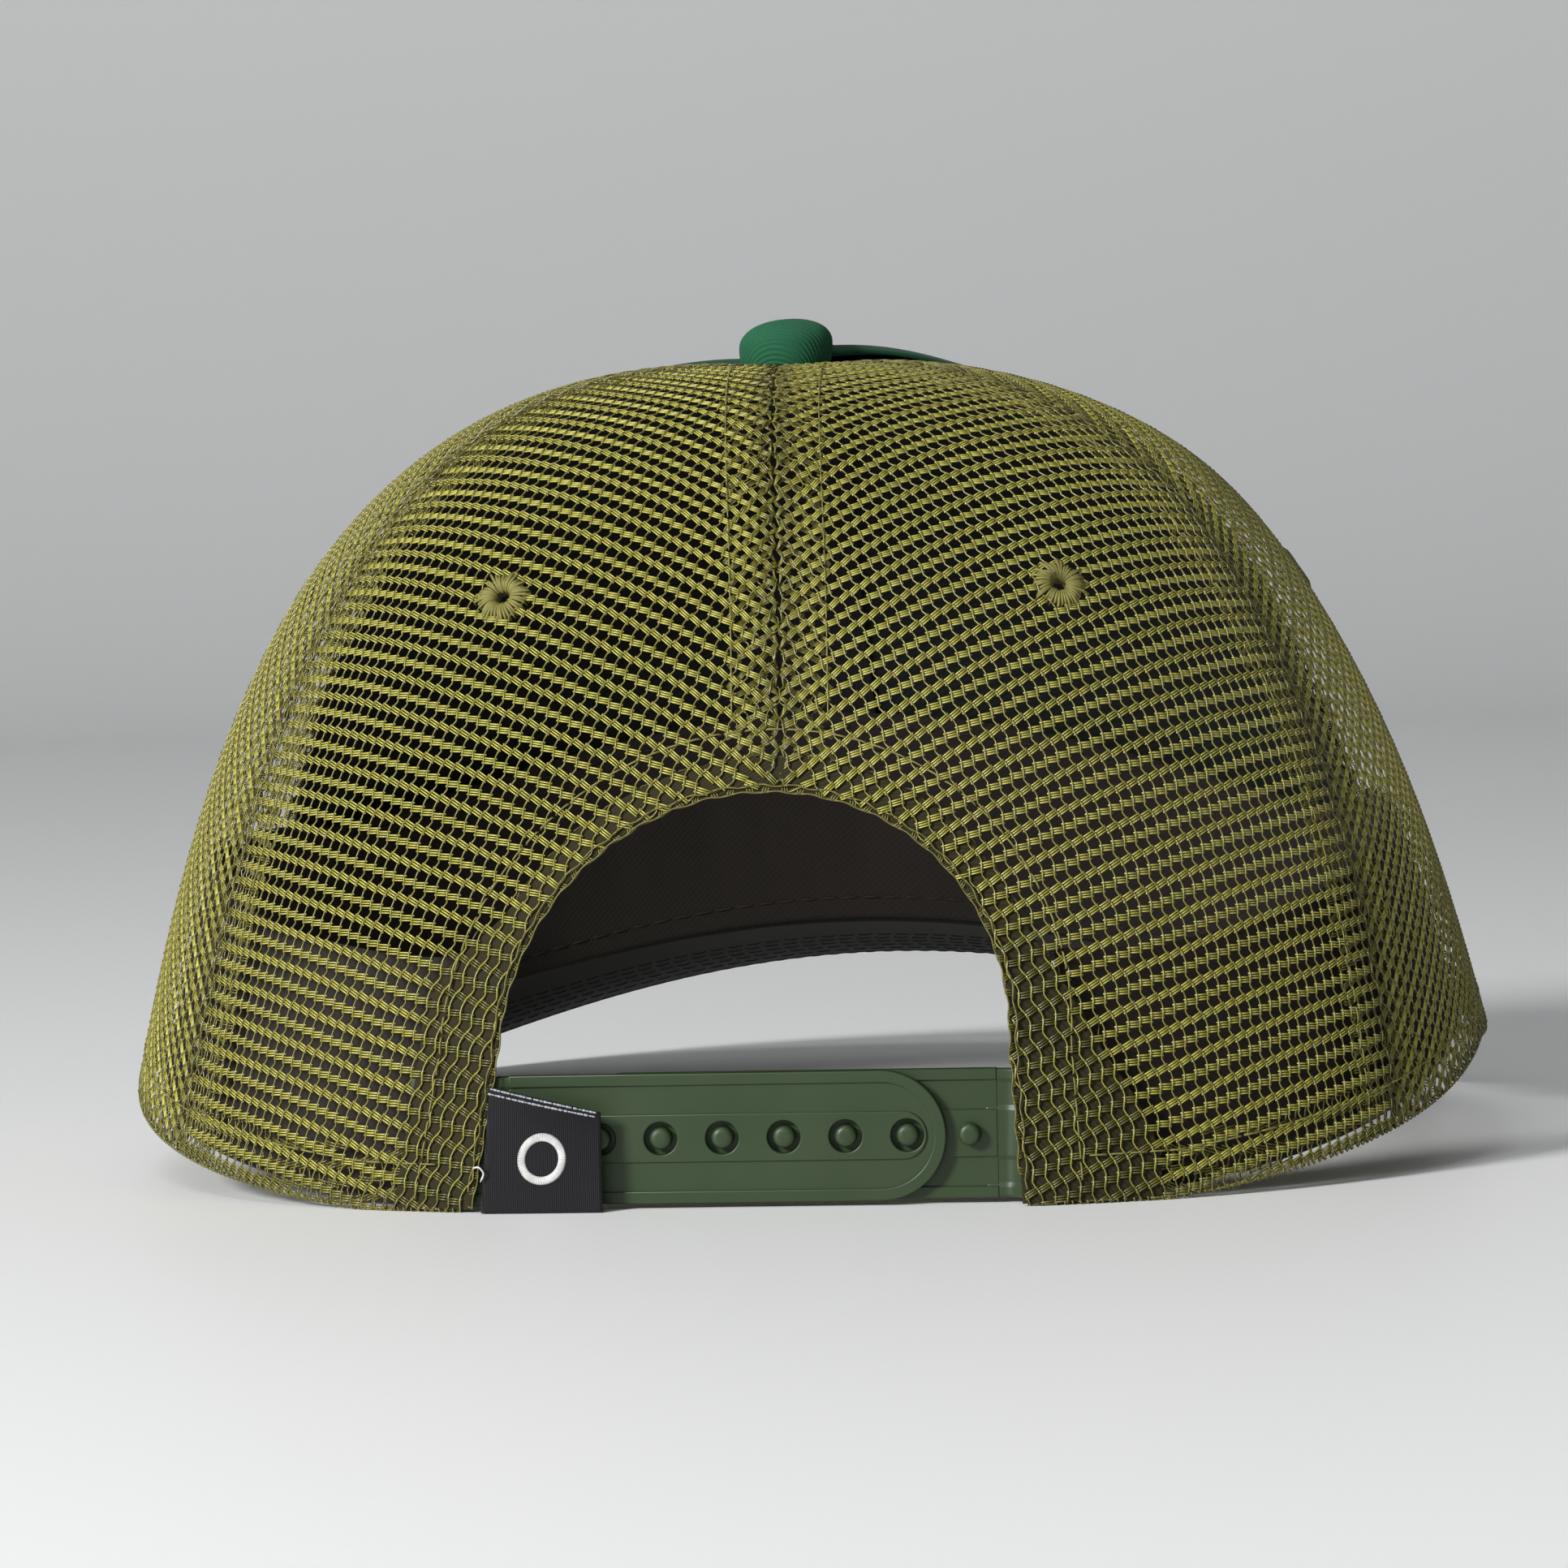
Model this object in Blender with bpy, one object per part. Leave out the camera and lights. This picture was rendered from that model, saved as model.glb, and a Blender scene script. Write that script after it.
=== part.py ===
"""A six-gore trucker cap: twill front and visor, knitted mesh back, plastic snap strap.

The cap stands on a table on its back hem and the two sides of its visor. +Z is up, the back of
the cap faces +Y and the visor points to -Y, so the wearer's left is +X. Run with
    blender --background --python part.py
Lengths are written in millimetres times MM, so every mesh is in metres.
"""

import math

import bmesh
import bpy
from mathutils import Matrix, Vector

MM = 0.001
GAP = 0.3 * MM  # clearance between neighbouring pieces

# Crown: the rim's plan is a superellipse, and each meridian is one cubic Bezier curve.
HALF_WIDTH = 97.2 * MM
HALF_LENGTH = 84.0 * MM
PLAN_POWER = 2.4
APEX_Z = 113.0 * MM
APEX_HOLE = 3.0 * MM
# (lower radius factor, lower height, upper radius factor, upper height) of the two inner control points
BACK_HANDLES = (0.955, 48.0 * MM, 0.80, 120.0 * MM)
SIDE_HANDLES = (0.90, 57.0 * MM, 0.724, 121.0 * MM)
FRONT_HANDLES = (0.98, 72.0 * MM, 0.74, 124.0 * MM)
CROWN_LEAN = 1.8 * MM  # the soft crown stands this much to the wearer's left at its top
CROWN_TWIST = math.radians(3.2)  # and its gores turn this much about Z half way up
BACK_RIM_Z = 0.15 * MM
LEFT_RIM_Z, RIGHT_RIM_Z = 13.0 * MM, 16.0 * MM  # the soft hem stands unevenly
BACK_REST_Y, SIDE_RISE_Y = 74.0 * MM, 15.0 * MM  # the hem rises from the table between these lines

# Layers of the crown, as depths below its outer surface.
PANEL = 0.8 * MM
LINING_DEPTH, LINING = 1.1 * MM, 0.5 * MM
TAPE_DEPTH, TAPE, TAPE_WIDTH = 2.2 * MM, 0.5 * MM, 14.0 * MM
FACING_DEPTH, FACING = 1.1 * MM, 0.4 * MM
ANCHOR_DEPTH, ANCHOR = 1.8 * MM, 1.2 * MM
BAND_DEPTH, BAND, BAND_HEIGHT = 3.3 * MM, 1.4 * MM, 33.0 * MM
BAND_LIFT, BAND_START = 1.5 * MM, math.radians(27)  # above the hem or visor; half its gap at the back
TAPE_FOOT = 0.05  # where on the meridian the seam tapes start

# Back opening: straight sides under a half circle, with a facing sewn round it.
OPENING_HALF = 34.4 * MM
OPENING_FLARE = 2.8 * MM  # extra half-width at the hem
OPENING_SPRING_Z = 21.4 * MM
OPENING_FOOT_X, OPENING_TOP_X = 2.3 * MM, -1.2 * MM  # the arch leans with the crown
FACING_WIDTH = 9.0 * MM

# Eyelets, one on each gore's centre line.
EYELET_RADIUS, EYELET_BORE, EYELET_HALF = 3.75 * MM, 1.0 * MM, 0.7 * MM
EYELET_Z = 82.5 * MM
EYELET_AZIMUTHS = {"back": 34.5, "side": 90, "front": 148}

# Visor: an ellipse in plan, bent about its length, rising towards the crown.
VISOR_HALF_WIDTH, VISOR_REACH, VISOR_CENTRE_Y = 89.0 * MM, 84.0 * MM, -70.0 * MM
VISOR_POWER = 2.15
VISOR_TIP_Z, VISOR_SLOPE = 16.33 * MM, 0.1443
VISOR_BEND = (2.6, 3.4)  # sideways curvature terms, in 1/m, at the joint and at the front
VISOR_END = math.radians(116.5)  # azimuth of the visor's two ends on the rim
COVER, BOARD, BOARD_GAP = 0.6 * MM, 1.5 * MM, 0.5 * MM
BOARD_INSET = 1.3 * MM
COVER_END, BOARD_END = 0.012, 0.05  # share of the visor's length left free at each end
VISOR_STACK = 2 * COVER + BOARD + 2 * BOARD_GAP

# Snap strap.
STRAP_HEIGHT, STRAP = 17.5 * MM, 1.4 * MM
STRAP_Z = 9.5 * MM
HOLE_STRAP_Y = 76.3 * MM  # inner face of the strap with the holes
STUD_PITCH, STUD_FROM_TIP, STUD_FROM_ROOT, STUD_COUNT = 8.35 * MM, 5.2 * MM, 4.6 * MM, 7
STRAP_LENGTH = STUD_FROM_ROOT + (STUD_COUNT - 1) * STUD_PITCH + STUD_FROM_TIP
SNAPPED = 6  # studs that sit in holes at this size
STRAP_HALF_SPAN = STUD_FROM_ROOT + (2 * STUD_COUNT - 1 - SNAPPED) * STUD_PITCH / 2
STRAP_CENTRE_X = 1.3 * MM
HOLE_RADIUS, STUD_RADIUS, STUD_HEIGHT = 2.25 * MM, 1.5 * MM, 1.9 * MM
STRAP_RIM, STRAP_RECESS, STRAP_SPINE = 1.6 * MM, 0.35 * MM, 6.5 * MM
ROOT_CLEAR = 0.9 * MM  # free plate starts this far from its bend line, so that it can turn
ANCHOR_START, ANCHOR_LENGTH = 1.5 * MM, 12.6 * MM  # from the bend line, outwards

# Woven label, sewn into the hem beside the strap.
LABEL_X, LABEL_Y, LABEL_WIDTH, LABEL_THICK = 38.3 * MM, 81.0 * MM, 16.0 * MM, 0.6 * MM
LABEL_LOW, LABEL_HIGH, LABEL_FREE_HIGH = 0.5 * MM, 15.5 * MM, 12.0 * MM

# Covered button on the crown.
BUTTON_RADIUS, BUTTON_HEIGHT, BUTTON_WALL = 6.75 * MM, 5.6 * MM, 0.6 * MM
BUTTON_BASE_Z = APEX_Z + 1.1 * MM

ROUND = 28  # segments of a full turn
CAP_SHIFT_Y = 36.35 * MM  # puts the middle of the cap's box over the origin


def clear_scene():
    for obj in list(bpy.data.objects):
        bpy.data.objects.remove(obj, do_unlink=True)


def material(name, colour, roughness, metallic=0.0):
    mat = bpy.data.materials.new(name)
    mat.use_nodes = True
    shader = mat.node_tree.nodes["Principled BSDF"]
    shader.inputs["Base Color"].default_value = (*colour, 1.0)
    shader.inputs["Roughness"].default_value = roughness
    shader.inputs["Metallic"].default_value = metallic
    return mat


# ---------------------------------------------------------------- crown surface


def rim_radius(phi):
    across = (abs(math.sin(phi)) / HALF_WIDTH) ** PLAN_POWER
    along = (abs(math.cos(phi)) / HALF_LENGTH) ** PLAN_POWER
    return (across + along) ** (-1 / PLAN_POWER)


def smooth(low, high, value):
    x = min(max((value - low) / (high - low), 0.0), 1.0)
    return x * x * (3 - 2 * x)


def visor_z(x, y):
    """Height of the visor's underside."""
    front = smooth(-42 * MM, -100 * MM, y)
    bend = VISOR_BEND[0] + (VISOR_BEND[1] - VISOR_BEND[0]) * front
    return VISOR_TIP_Z + VISOR_SLOPE * (y - VISOR_CENTRE_Y + VISOR_REACH) - bend * x * x


def rim_z(phi):
    """Height of the hem: on the table at the back, raised at the sides, on the visor in front."""
    radius = rim_radius(phi)
    x, y = radius * math.sin(phi), radius * math.cos(phi)
    rise = min(max((BACK_REST_Y - y) / (BACK_REST_Y - SIDE_RISE_Y), 0.0), 1.0)
    side_z = LEFT_RIM_Z if phi > 0 else RIGHT_RIM_Z
    plain = BACK_RIM_Z + (side_z - BACK_RIM_Z) * rise
    on_visor = visor_z(x, y) + VISOR_STACK + 2 * GAP
    share = smooth(math.radians(106), math.radians(117), abs(phi))
    return plain + (on_visor - plain) * share


def handles(phi):
    back = max(math.cos(phi), 0) ** 2
    front = max(-math.cos(phi), 0) ** 2
    side = 1 - back - front
    triples = zip(BACK_HANDLES, SIDE_HANDLES, FRONT_HANDLES)
    return [b * back + s * side + f * front for b, s, f in triples]


def surface(phi, t):
    """Outer surface of the crown: azimuth from the back towards the wearer's left, t from hem to apex."""
    phi = math.remainder(phi, math.tau)
    low_r, low_z, high_r, high_z = handles(phi)
    a, b, c, d = (1 - t) ** 3, 3 * (1 - t) ** 2 * t, 3 * (1 - t) * t * t, t**3
    radius = rim_radius(phi) * (a + b * low_r + c * high_r)
    z = a * rim_z(phi) + b * low_z + c * high_z + d * APEX_Z
    turned = phi - CROWN_TWIST * math.sin(math.pi * t)
    lean = CROWN_LEAN * max(z / APEX_Z, 0) ** 1.5
    return Vector((radius * math.sin(turned) + lean, radius * math.cos(turned), z))


def normal(phi, t):
    step = 1e-3
    t = min(max(t, step), 1 - step)
    along = surface(phi, t + step) - surface(phi, t - step)
    around = surface(phi + step, t) - surface(phi - step, t)
    return along.cross(around).normalized()


def inside(phi, t, depth):
    return surface(phi, t) - normal(phi, t) * depth


def t_at_radius(phi, radius):
    """The parameter near the apex where the meridian is this far from it."""
    low, high = 0.5, 1.0
    full = rim_radius(phi)
    low_r, _, high_r, _ = handles(phi)
    for _ in range(40):
        mid = (low + high) / 2
        a, b, c = (1 - mid) ** 3, 3 * (1 - mid) ** 2 * mid, 3 * (1 - mid) * mid * mid
        if full * (a + b * low_r + c * high_r) > radius:
            low = mid
        else:
            high = mid
    return low


def t_at_z(phi, z):
    low, high = 0.0, 0.6
    for _ in range(40):
        mid = (low + high) / 2
        if surface(phi, mid).z < z:
            low = mid
        else:
            high = mid
    return low


def back_phi(x, z):
    """Azimuth and t of the point of the crown's back that has this x and z."""
    phi, t = math.asin(x / (1.1 * HALF_LENGTH)), 0.2
    for _ in range(25):
        t = t_at_z(phi, z)
        error = surface(phi, t).x - x
        phi -= error / (HALF_LENGTH * 0.95)
    return phi, t


# ---------------------------------------------------------------- mesh helpers


def add_object(name, mesh, mat, smooth_angle=40):
    mesh.materials.append(mat)
    mesh.shade_smooth()
    mesh.set_sharp_from_angle(angle=math.radians(smooth_angle))
    obj = bpy.data.objects.new(name, mesh)
    bpy.context.scene.collection.objects.link(obj)
    obj.parent = bpy.data.objects["cap"]
    return obj


def grid_sheet(name, rows, mat, thickness):
    """A sheet through rows of points, thickened towards its back by a Solidify modifier."""
    mesh = bpy.data.meshes.new(name)
    width = len(rows[0])
    points = [p for row in rows for p in row]
    faces = [
        (i * width + j, i * width + j + 1, (i + 1) * width + j + 1, (i + 1) * width + j)
        for i in range(len(rows) - 1)
        for j in range(width - 1)
    ]
    mesh.from_pydata(points, [], faces)
    obj = add_object(name, mesh, mat)
    solid = obj.modifiers.new("thickness", "SOLIDIFY")
    solid.thickness = thickness
    solid.offset = -1
    solid.use_even_offset = True
    return obj


def crown_sheet(name, columns, rows, depth, thickness, mat):
    """A sheet parallel to the crown: columns of azimuths, each with its own (first t, last t)."""
    grid = []
    for i in range(rows + 1):
        share = i / rows
        row = []
        for column in reversed(columns):
            phi, first, last = column(share) if callable(column) else column
            row.append(inside(phi, first + (last - first) * share, depth))
        grid.append(row)
    return grid_sheet(name, grid, mat, thickness)


def prism(name, outline, y_low, y_high, mat):
    """A flat outline in X and Z, extruded along Y."""
    form = bmesh.new()
    face = form.faces.new([form.verts.new((x, y_low, z)) for x, z in outline])
    moved = bmesh.ops.extrude_face_region(form, geom=[face])["geom"]
    corners = [v for v in moved if isinstance(v, bmesh.types.BMVert)]
    bmesh.ops.translate(form, verts=corners, vec=(0, y_high - y_low, 0))
    bmesh.ops.recalc_face_normals(form, faces=form.faces)
    mesh = bpy.data.meshes.new(name)
    form.to_mesh(mesh)
    form.free()
    return add_object(name, mesh, mat)


def turned(name, profile, matrix, mat, segments=ROUND):
    """A closed profile of (radius, height) turned about Z; points of radius 0 meet on the axis."""
    form = bmesh.new()
    rings = []
    for radius, height in profile:
        if radius == 0:
            rings.append([form.verts.new((0, 0, height))] * segments)
            continue
        angles = [math.tau * k / segments for k in range(segments)]
        ring = [(radius * math.cos(a), radius * math.sin(a), height) for a in angles]
        rings.append([form.verts.new(p) for p in ring])
    for ring, following in zip(rings, rings[1:] + rings[:1]):
        for k in range(segments):
            after = (k + 1) % segments
            loop = [ring[k], ring[after], following[after], following[k]]
            corners = list(dict.fromkeys(loop))
            if len(corners) > 2:
                form.faces.new(corners)
    bmesh.ops.recalc_face_normals(form, faces=form.faces)
    bmesh.ops.transform(form, matrix=matrix, verts=form.verts)
    mesh = bpy.data.meshes.new(name)
    form.to_mesh(mesh)
    form.free()
    return add_object(name, mesh, mat)


def cut(obj, cutter, operation="DIFFERENCE"):
    cutter.hide_render = True
    cutter.display_type = "WIRE"
    boolean = obj.modifiers.new(cutter.name, "BOOLEAN")
    boolean.operation = operation
    boolean.object = cutter
    boolean.solver = "EXACT"


def arc(centre_x, centre_z, radius, start, end, count):
    """Points of an arc in X and Z, angles in degrees from +X."""
    angles = [math.radians(start + (end - start) * k / count) for k in range(count + 1)]
    return [(centre_x + radius * math.cos(a), centre_z + radius * math.sin(a)) for a in angles]


# ---------------------------------------------------------------- crown pieces


def panel(name, start_degrees, mat):
    """One gore, 60 degrees of the crown, with a sewing gap along both sides."""
    segments = 9

    def column(k):
        def at(share):
            phi = math.radians(start_degrees + 60 * k / segments)
            last = t_at_radius(phi, APEX_HOLE)
            t = last * share
            side = {0: 1, segments: -1}.get(k, 0)
            reach = math.hypot(*surface(phi, t).xy)
            shifted = phi + side * min(GAP / 2 / max(reach, APEX_HOLE), 0.06)
            return shifted, 0.0, last

        return at

    return crown_sheet(name, [column(k) for k in range(segments + 1)], 12, 0.0, PANEL, mat)


def opening_shift(z):
    share = max(z, 0) / (OPENING_SPRING_Z + OPENING_HALF)
    return OPENING_FOOT_X + (OPENING_TOP_X - OPENING_FOOT_X) * share


def arch_outline(margin, bottom):
    """The opening's edge, moved outwards by a margin, from one foot over the top to the other."""
    reach = OPENING_HALF + margin
    flare = OPENING_FLARE * (1 - bottom / OPENING_SPRING_Z)
    points = [(reach + flare, bottom)]
    points += arc(0, OPENING_SPRING_Z, reach, 0, 180, 24)
    points += [(-reach - flare, bottom)]
    return [(x + opening_shift(z), z) for x, z in points]


def eyelet_frame(gore):
    """Turns Z into the crown's normal at a gore's eyelet."""
    place, side = gore.split("_")[0], gore.split("_")[-1]
    phi = math.radians(EYELET_AZIMUTHS[place]) * (1 if side == "left" else -1)
    t = t_at_z(phi, EYELET_Z)
    place = inside(phi, t, PANEL / 2)
    turn = normal(phi, t).to_track_quat("Z", "Y").to_matrix().to_4x4()
    return Matrix.Translation(place) @ turn


def crown(mesh_mat, twill, cutter_mat):
    """The six gores, with the opening and the eyelet holes cut through them."""
    gores = {
        "back_mesh_left": (0, mesh_mat),
        "side_mesh_left": (60, mesh_mat),
        "front_panel_left": (120, twill),
        "front_panel_right": (180, twill),
        "side_mesh_right": (-120, mesh_mat),
        "back_mesh_right": (-60, mesh_mat),
    }
    outline = arch_outline(0, -5 * MM)
    opening = prism("opening_cutter", outline, 40 * MM, 120 * MM, cutter_mat)
    hole = EYELET_RADIUS + GAP
    for name, (start, mat) in gores.items():
        gore = panel(name, start, mat)
        if name.startswith("back"):
            cut(gore, opening)
        profile = [(0, -4 * MM), (hole, -4 * MM), (hole, 4 * MM), (0, 4 * MM)]
        cutter = turned(name + "_cutter", profile, eyelet_frame(name), cutter_mat, 16)
        cut(gore, cutter)


def eyelets(mesh_thread, twill_thread):
    """Embroidered rings: rounded bands of thread round a small bore."""
    middle = (EYELET_RADIUS + EYELET_BORE) / 2
    half = (EYELET_RADIUS - EYELET_BORE) / 2
    count = 8
    angles = [math.tau * k / count for k in range(count)]
    profile = [(middle + half * math.cos(a), EYELET_HALF * math.sin(a)) for a in angles]
    for place in EYELET_AZIMUTHS:
        for side in ("left", "right"):
            thread = twill_thread if place == "front" else mesh_thread
            frame = eyelet_frame(f"{place}_{side}")
            turned(f"eyelet_{place}_{side}", profile, frame, thread, 18)


def front_buckram(mat):
    """The open-weave stiffener that holds the two front gores up."""
    segments = 18
    columns = []
    for k in range(segments + 1):
        phi = math.radians(122 + 116 * k / segments)
        columns.append((phi, 0.01, t_at_radius(phi, 11 * MM)))
    crown_sheet("front_buckram", columns, 10, LINING_DEPTH, LINING, mat)


def seam_tape(name, degrees, mat):
    """A tape over the inside of one seam, of the same width all the way up."""
    phi = math.radians(degrees)
    last = t_at_radius(phi, 14 * MM)

    def column(side):
        def at(share):
            t = TAPE_FOOT + (last - TAPE_FOOT) * share
            reach = math.hypot(*surface(phi, t).xy)
            return phi + side * TAPE_WIDTH / 2 / reach, TAPE_FOOT, last

        return at

    crown_sheet(name, [column(-1), column(0), column(1)], 12, TAPE_DEPTH, TAPE, mat)


def sweatband(mat):
    """The band round the inside of the hem, open at the back between the strap's two ends."""
    segments = 44
    columns = []
    for k in range(segments + 1):
        phi = BAND_START + (math.tau - 2 * BAND_START) * k / segments
        folded = math.remainder(phi, math.tau)
        radius = rim_radius(folded)
        on_visor = visor_z(radius * math.sin(folded), radius * math.cos(folded)) + BAND_LIFT
        share = smooth(math.radians(106), math.radians(117), abs(folded))
        low = rim_z(folded) + BAND_LIFT
        low += (max(on_visor, 0) - low) * share
        foot = t_at_z(folded, low)
        columns.append((folded, foot, t_at_z(folded, low + BAND_HEIGHT)))
    return crown_sheet("sweatband", columns, 3, BAND_DEPTH, BAND, mat)


def opening_facing(mat):
    """A folded strip of mesh sewn round the inside of the opening's edge."""
    inner = arch_outline(GAP, 1.0 * MM)
    outer = arch_outline(FACING_WIDTH, 1.0 * MM)
    rows = []
    for share in (0, 0.5, 1):
        row = []
        for (x0, z0), (x1, z1) in zip(inner, outer):
            phi, t = back_phi(x0 + (x1 - x0) * share, z0 + (z1 - z0) * share)
            row.append(inside(phi, t, FACING_DEPTH))
        rows.append(row)
    grid_sheet("opening_facing", rows, mat, FACING)


# ---------------------------------------------------------------- visor


def visor_outer(share):
    """The visor's free edge, from its right end (0) round the front to its left end (1)."""
    angle = (share - 0.5) * 2 * math.radians(109.5)
    s, c = math.sin(angle), math.cos(angle)
    power = 2 / VISOR_POWER if c > 0 else 1.0
    x = VISOR_HALF_WIDTH * math.copysign(abs(s) ** power, s)
    y = VISOR_CENTRE_Y - VISOR_REACH * math.copysign(abs(c) ** power, c)
    return x, y


def visor_inner(share):
    """The visor's sewn edge, just outside the sweatband under the front gores."""
    phi = math.pi + (math.pi - VISOR_END) * (1 - 2 * share)
    point = surface(phi, 0.0)
    scale = 1 - (BAND_DEPTH - GAP) / point.xy.length
    return point.x * scale, point.y * scale


def visor_points(share, width_share, inset, lift):
    x0, y0 = visor_inner(share)
    x1, y1 = visor_outer(share)
    span = math.hypot(x1 - x0, y1 - y0)
    first = inset / span
    last = 1 - first
    along = first + (last - first) * width_share if inset else width_share
    x, y = x0 + (x1 - x0) * along, y0 + (y1 - y0) * along
    return Vector((x, y, visor_z(x, y) + lift))


def visor_sheet(name, inset, top, thickness, mat, end_margin, skirt=0.0):
    columns, rows = 40, 7
    grid = []
    for i in range(rows + 1):
        shares = [end_margin + (1 - 2 * end_margin) * j / columns for j in range(columns + 1)]
        grid.append([visor_points(s, i / rows, inset, top) for s in shares])
    if skirt:
        grid.append([p - Vector((0, 0, skirt)) for p in grid[-1]])
    grid_sheet(name, list(reversed(grid)), mat, thickness)


def visor(twill, under, board):
    board_top = COVER + BOARD_GAP + BOARD
    visor_sheet("visor_bottom_cover", 0.0, COVER, COVER, under, COVER_END)
    visor_sheet("visor_board", BOARD_INSET, board_top, BOARD, board, BOARD_END)
    visor_sheet("visor_top_cover", 0.0, VISOR_STACK, COVER, twill, COVER_END, BOARD)


# ---------------------------------------------------------------- strap and label


def strap_outline(length):
    """One strap seen from behind, from its hinge line at 0 to its round tip."""
    half = STRAP_HEIGHT / 2
    centre = length - half
    return [(ROOT_CLEAR, -half)] + arc(centre, 0, half, -90, 90, 14) + [(ROOT_CLEAR, half)]


def recess_outline(length):
    """The sunk field between the strap's rim and its spine: a U lying on its side."""
    start = ROOT_CLEAR + STRAP_RIM
    half, spine = STRAP_HEIGHT / 2 - STRAP_RIM, STRAP_SPINE / 2
    centre = length - STRAP_HEIGHT / 2
    outer = [(start, -half)] + arc(centre, 0, half, -90, 90, 14) + [(start, half)]
    spine_end = length - STUD_FROM_TIP
    inner = [(start, spine)] + arc(spine_end - 0.6 * MM, 0, spine, 90, -90, 10) + [(start, -spine)]
    return outer + inner


def stud_places(length):
    return [length - STUD_FROM_TIP - STUD_PITCH * k for k in range(STUD_COUNT)]


def discs(name, places, radius, y_low, y_high, mat):
    """A row of short cylinders along Y, joined as one cutter."""
    form = bmesh.new()
    for x in places:
        centre = Matrix.Translation((x, (y_low + y_high) / 2, 0)) @ Matrix.Rotation(math.pi / 2, 4, "X")
        size = {"radius1": radius, "radius2": radius, "depth": y_high - y_low}
        bmesh.ops.create_cone(form, cap_ends=True, segments=18, matrix=centre, **size)
    mesh = bpy.data.meshes.new(name)
    form.to_mesh(mesh)
    form.free()
    return add_object(name, mesh, mat)


def place_strap(objects, side, y):
    """Straps are drawn from their hinge line towards +X; the left one (side 1) points to -X."""
    for obj in objects:
        obj.location = (STRAP_CENTRE_X + side * STRAP_HALF_SPAN, y, STRAP_Z)
        if side > 0:
            # Mirrored in the mesh, so that both straps keep their outer face towards +Y.
            obj.data.transform(Matrix.Scale(-1, 4, (1, 0, 0)))
            obj.data.flip_normals()


def strap(name, side, y, studs, mat, cutter_mat):
    """A strap plate with a raised rim and spine, and either studs or holes along the spine."""
    plate = prism(name, strap_outline(STRAP_LENGTH), 0, STRAP, mat)
    low = STRAP - STRAP_RECESS
    recess = prism(name + "_recess", recess_outline(STRAP_LENGTH), low, STRAP + 2 * MM, cutter_mat)
    places = stud_places(STRAP_LENGTH)
    if studs:
        feature = discs(name + "_studs", places, STUD_RADIUS, low, STRAP + STUD_HEIGHT, cutter_mat)
    else:
        feature = discs(name + "_holes", places, HOLE_RADIUS, -2 * MM, STRAP + 2 * MM, cutter_mat)
    cut(plate, recess)
    cut(plate, feature, "UNION" if studs else "DIFFERENCE")
    place_strap([plate, recess, feature], side, y)


def strap_anchor(name, side, mat):
    """The sewn end of a strap, between the hem and the sweatband."""
    start = STRAP_HALF_SPAN + ANCHOR_START
    low, high = STRAP_Z - STRAP_HEIGHT / 2, STRAP_Z + STRAP_HEIGHT / 2
    rows = []
    for z in (low, STRAP_Z, high):
        row = []
        for k in range(6):
            x = STRAP_CENTRE_X + side * (start + ANCHOR_LENGTH * k / 5)
            phi, t = back_phi(x, z)
            row.append(inside(phi, t, ANCHOR_DEPTH))
        rows.append(row if side < 0 else list(reversed(row)))
    grid_sheet(name, rows, mat, ANCHOR)


def woven_label(mat):
    """A folded tag, lower at its free side, hinged on the hem's edge."""
    x0, x1 = -LABEL_THICK / 2, -LABEL_WIDTH
    outline = [(x0, LABEL_LOW), (x0, LABEL_HIGH), (x1, LABEL_FREE_HIGH), (x1, LABEL_LOW)]
    label = prism("woven_label", outline, -LABEL_THICK / 2, LABEL_THICK / 2, mat)
    label.location = (LABEL_X, LABEL_Y, 0)


# ---------------------------------------------------------------- button


def button(twill, steel):
    """A covered button: twill over a steel shell, held by a rivet through the apex."""
    apex = surface(0, 1.0)
    place = Matrix.Translation((apex.x, apex.y, BUTTON_BASE_Z))

    def dome(radius, height, count=6):
        angles = [math.pi / 2 * k / count for k in range(count + 1)]
        return [(radius * math.cos(a) ** 0.8, height * math.sin(a)) for a in angles[:-1]] + [(0, height)]

    outer = dome(BUTTON_RADIUS, BUTTON_HEIGHT)
    hollow = dome(BUTTON_RADIUS - BUTTON_WALL, BUTTON_HEIGHT - BUTTON_WALL)
    turned("button_cover", outer + hollow[::-1], place, twill)
    step = BUTTON_WALL + GAP
    shell_outer = dome(BUTTON_RADIUS - step, BUTTON_HEIGHT - step)
    step += BUTTON_WALL
    shell_inner = dome(BUTTON_RADIUS - step, BUTTON_HEIGHT - step)
    turned("button_shell", shell_outer + shell_inner[::-1], place, steel)
    foot = APEX_Z - BUTTON_BASE_Z - PANEL - GAP
    washer, post, head = 6.0 * MM, 1.2 * MM, 2.6 * MM
    top = BUTTON_HEIGHT - step - 1.2 * MM
    rivet = [(0, foot - 0.9 * MM), (washer, foot - 0.9 * MM), (washer, foot), (post, foot)]
    rivet += [(post, top - 0.8 * MM), (head, top - 0.8 * MM), (head, top), (0, top)]
    turned("button_rivet", rivet, place, steel)


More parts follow.
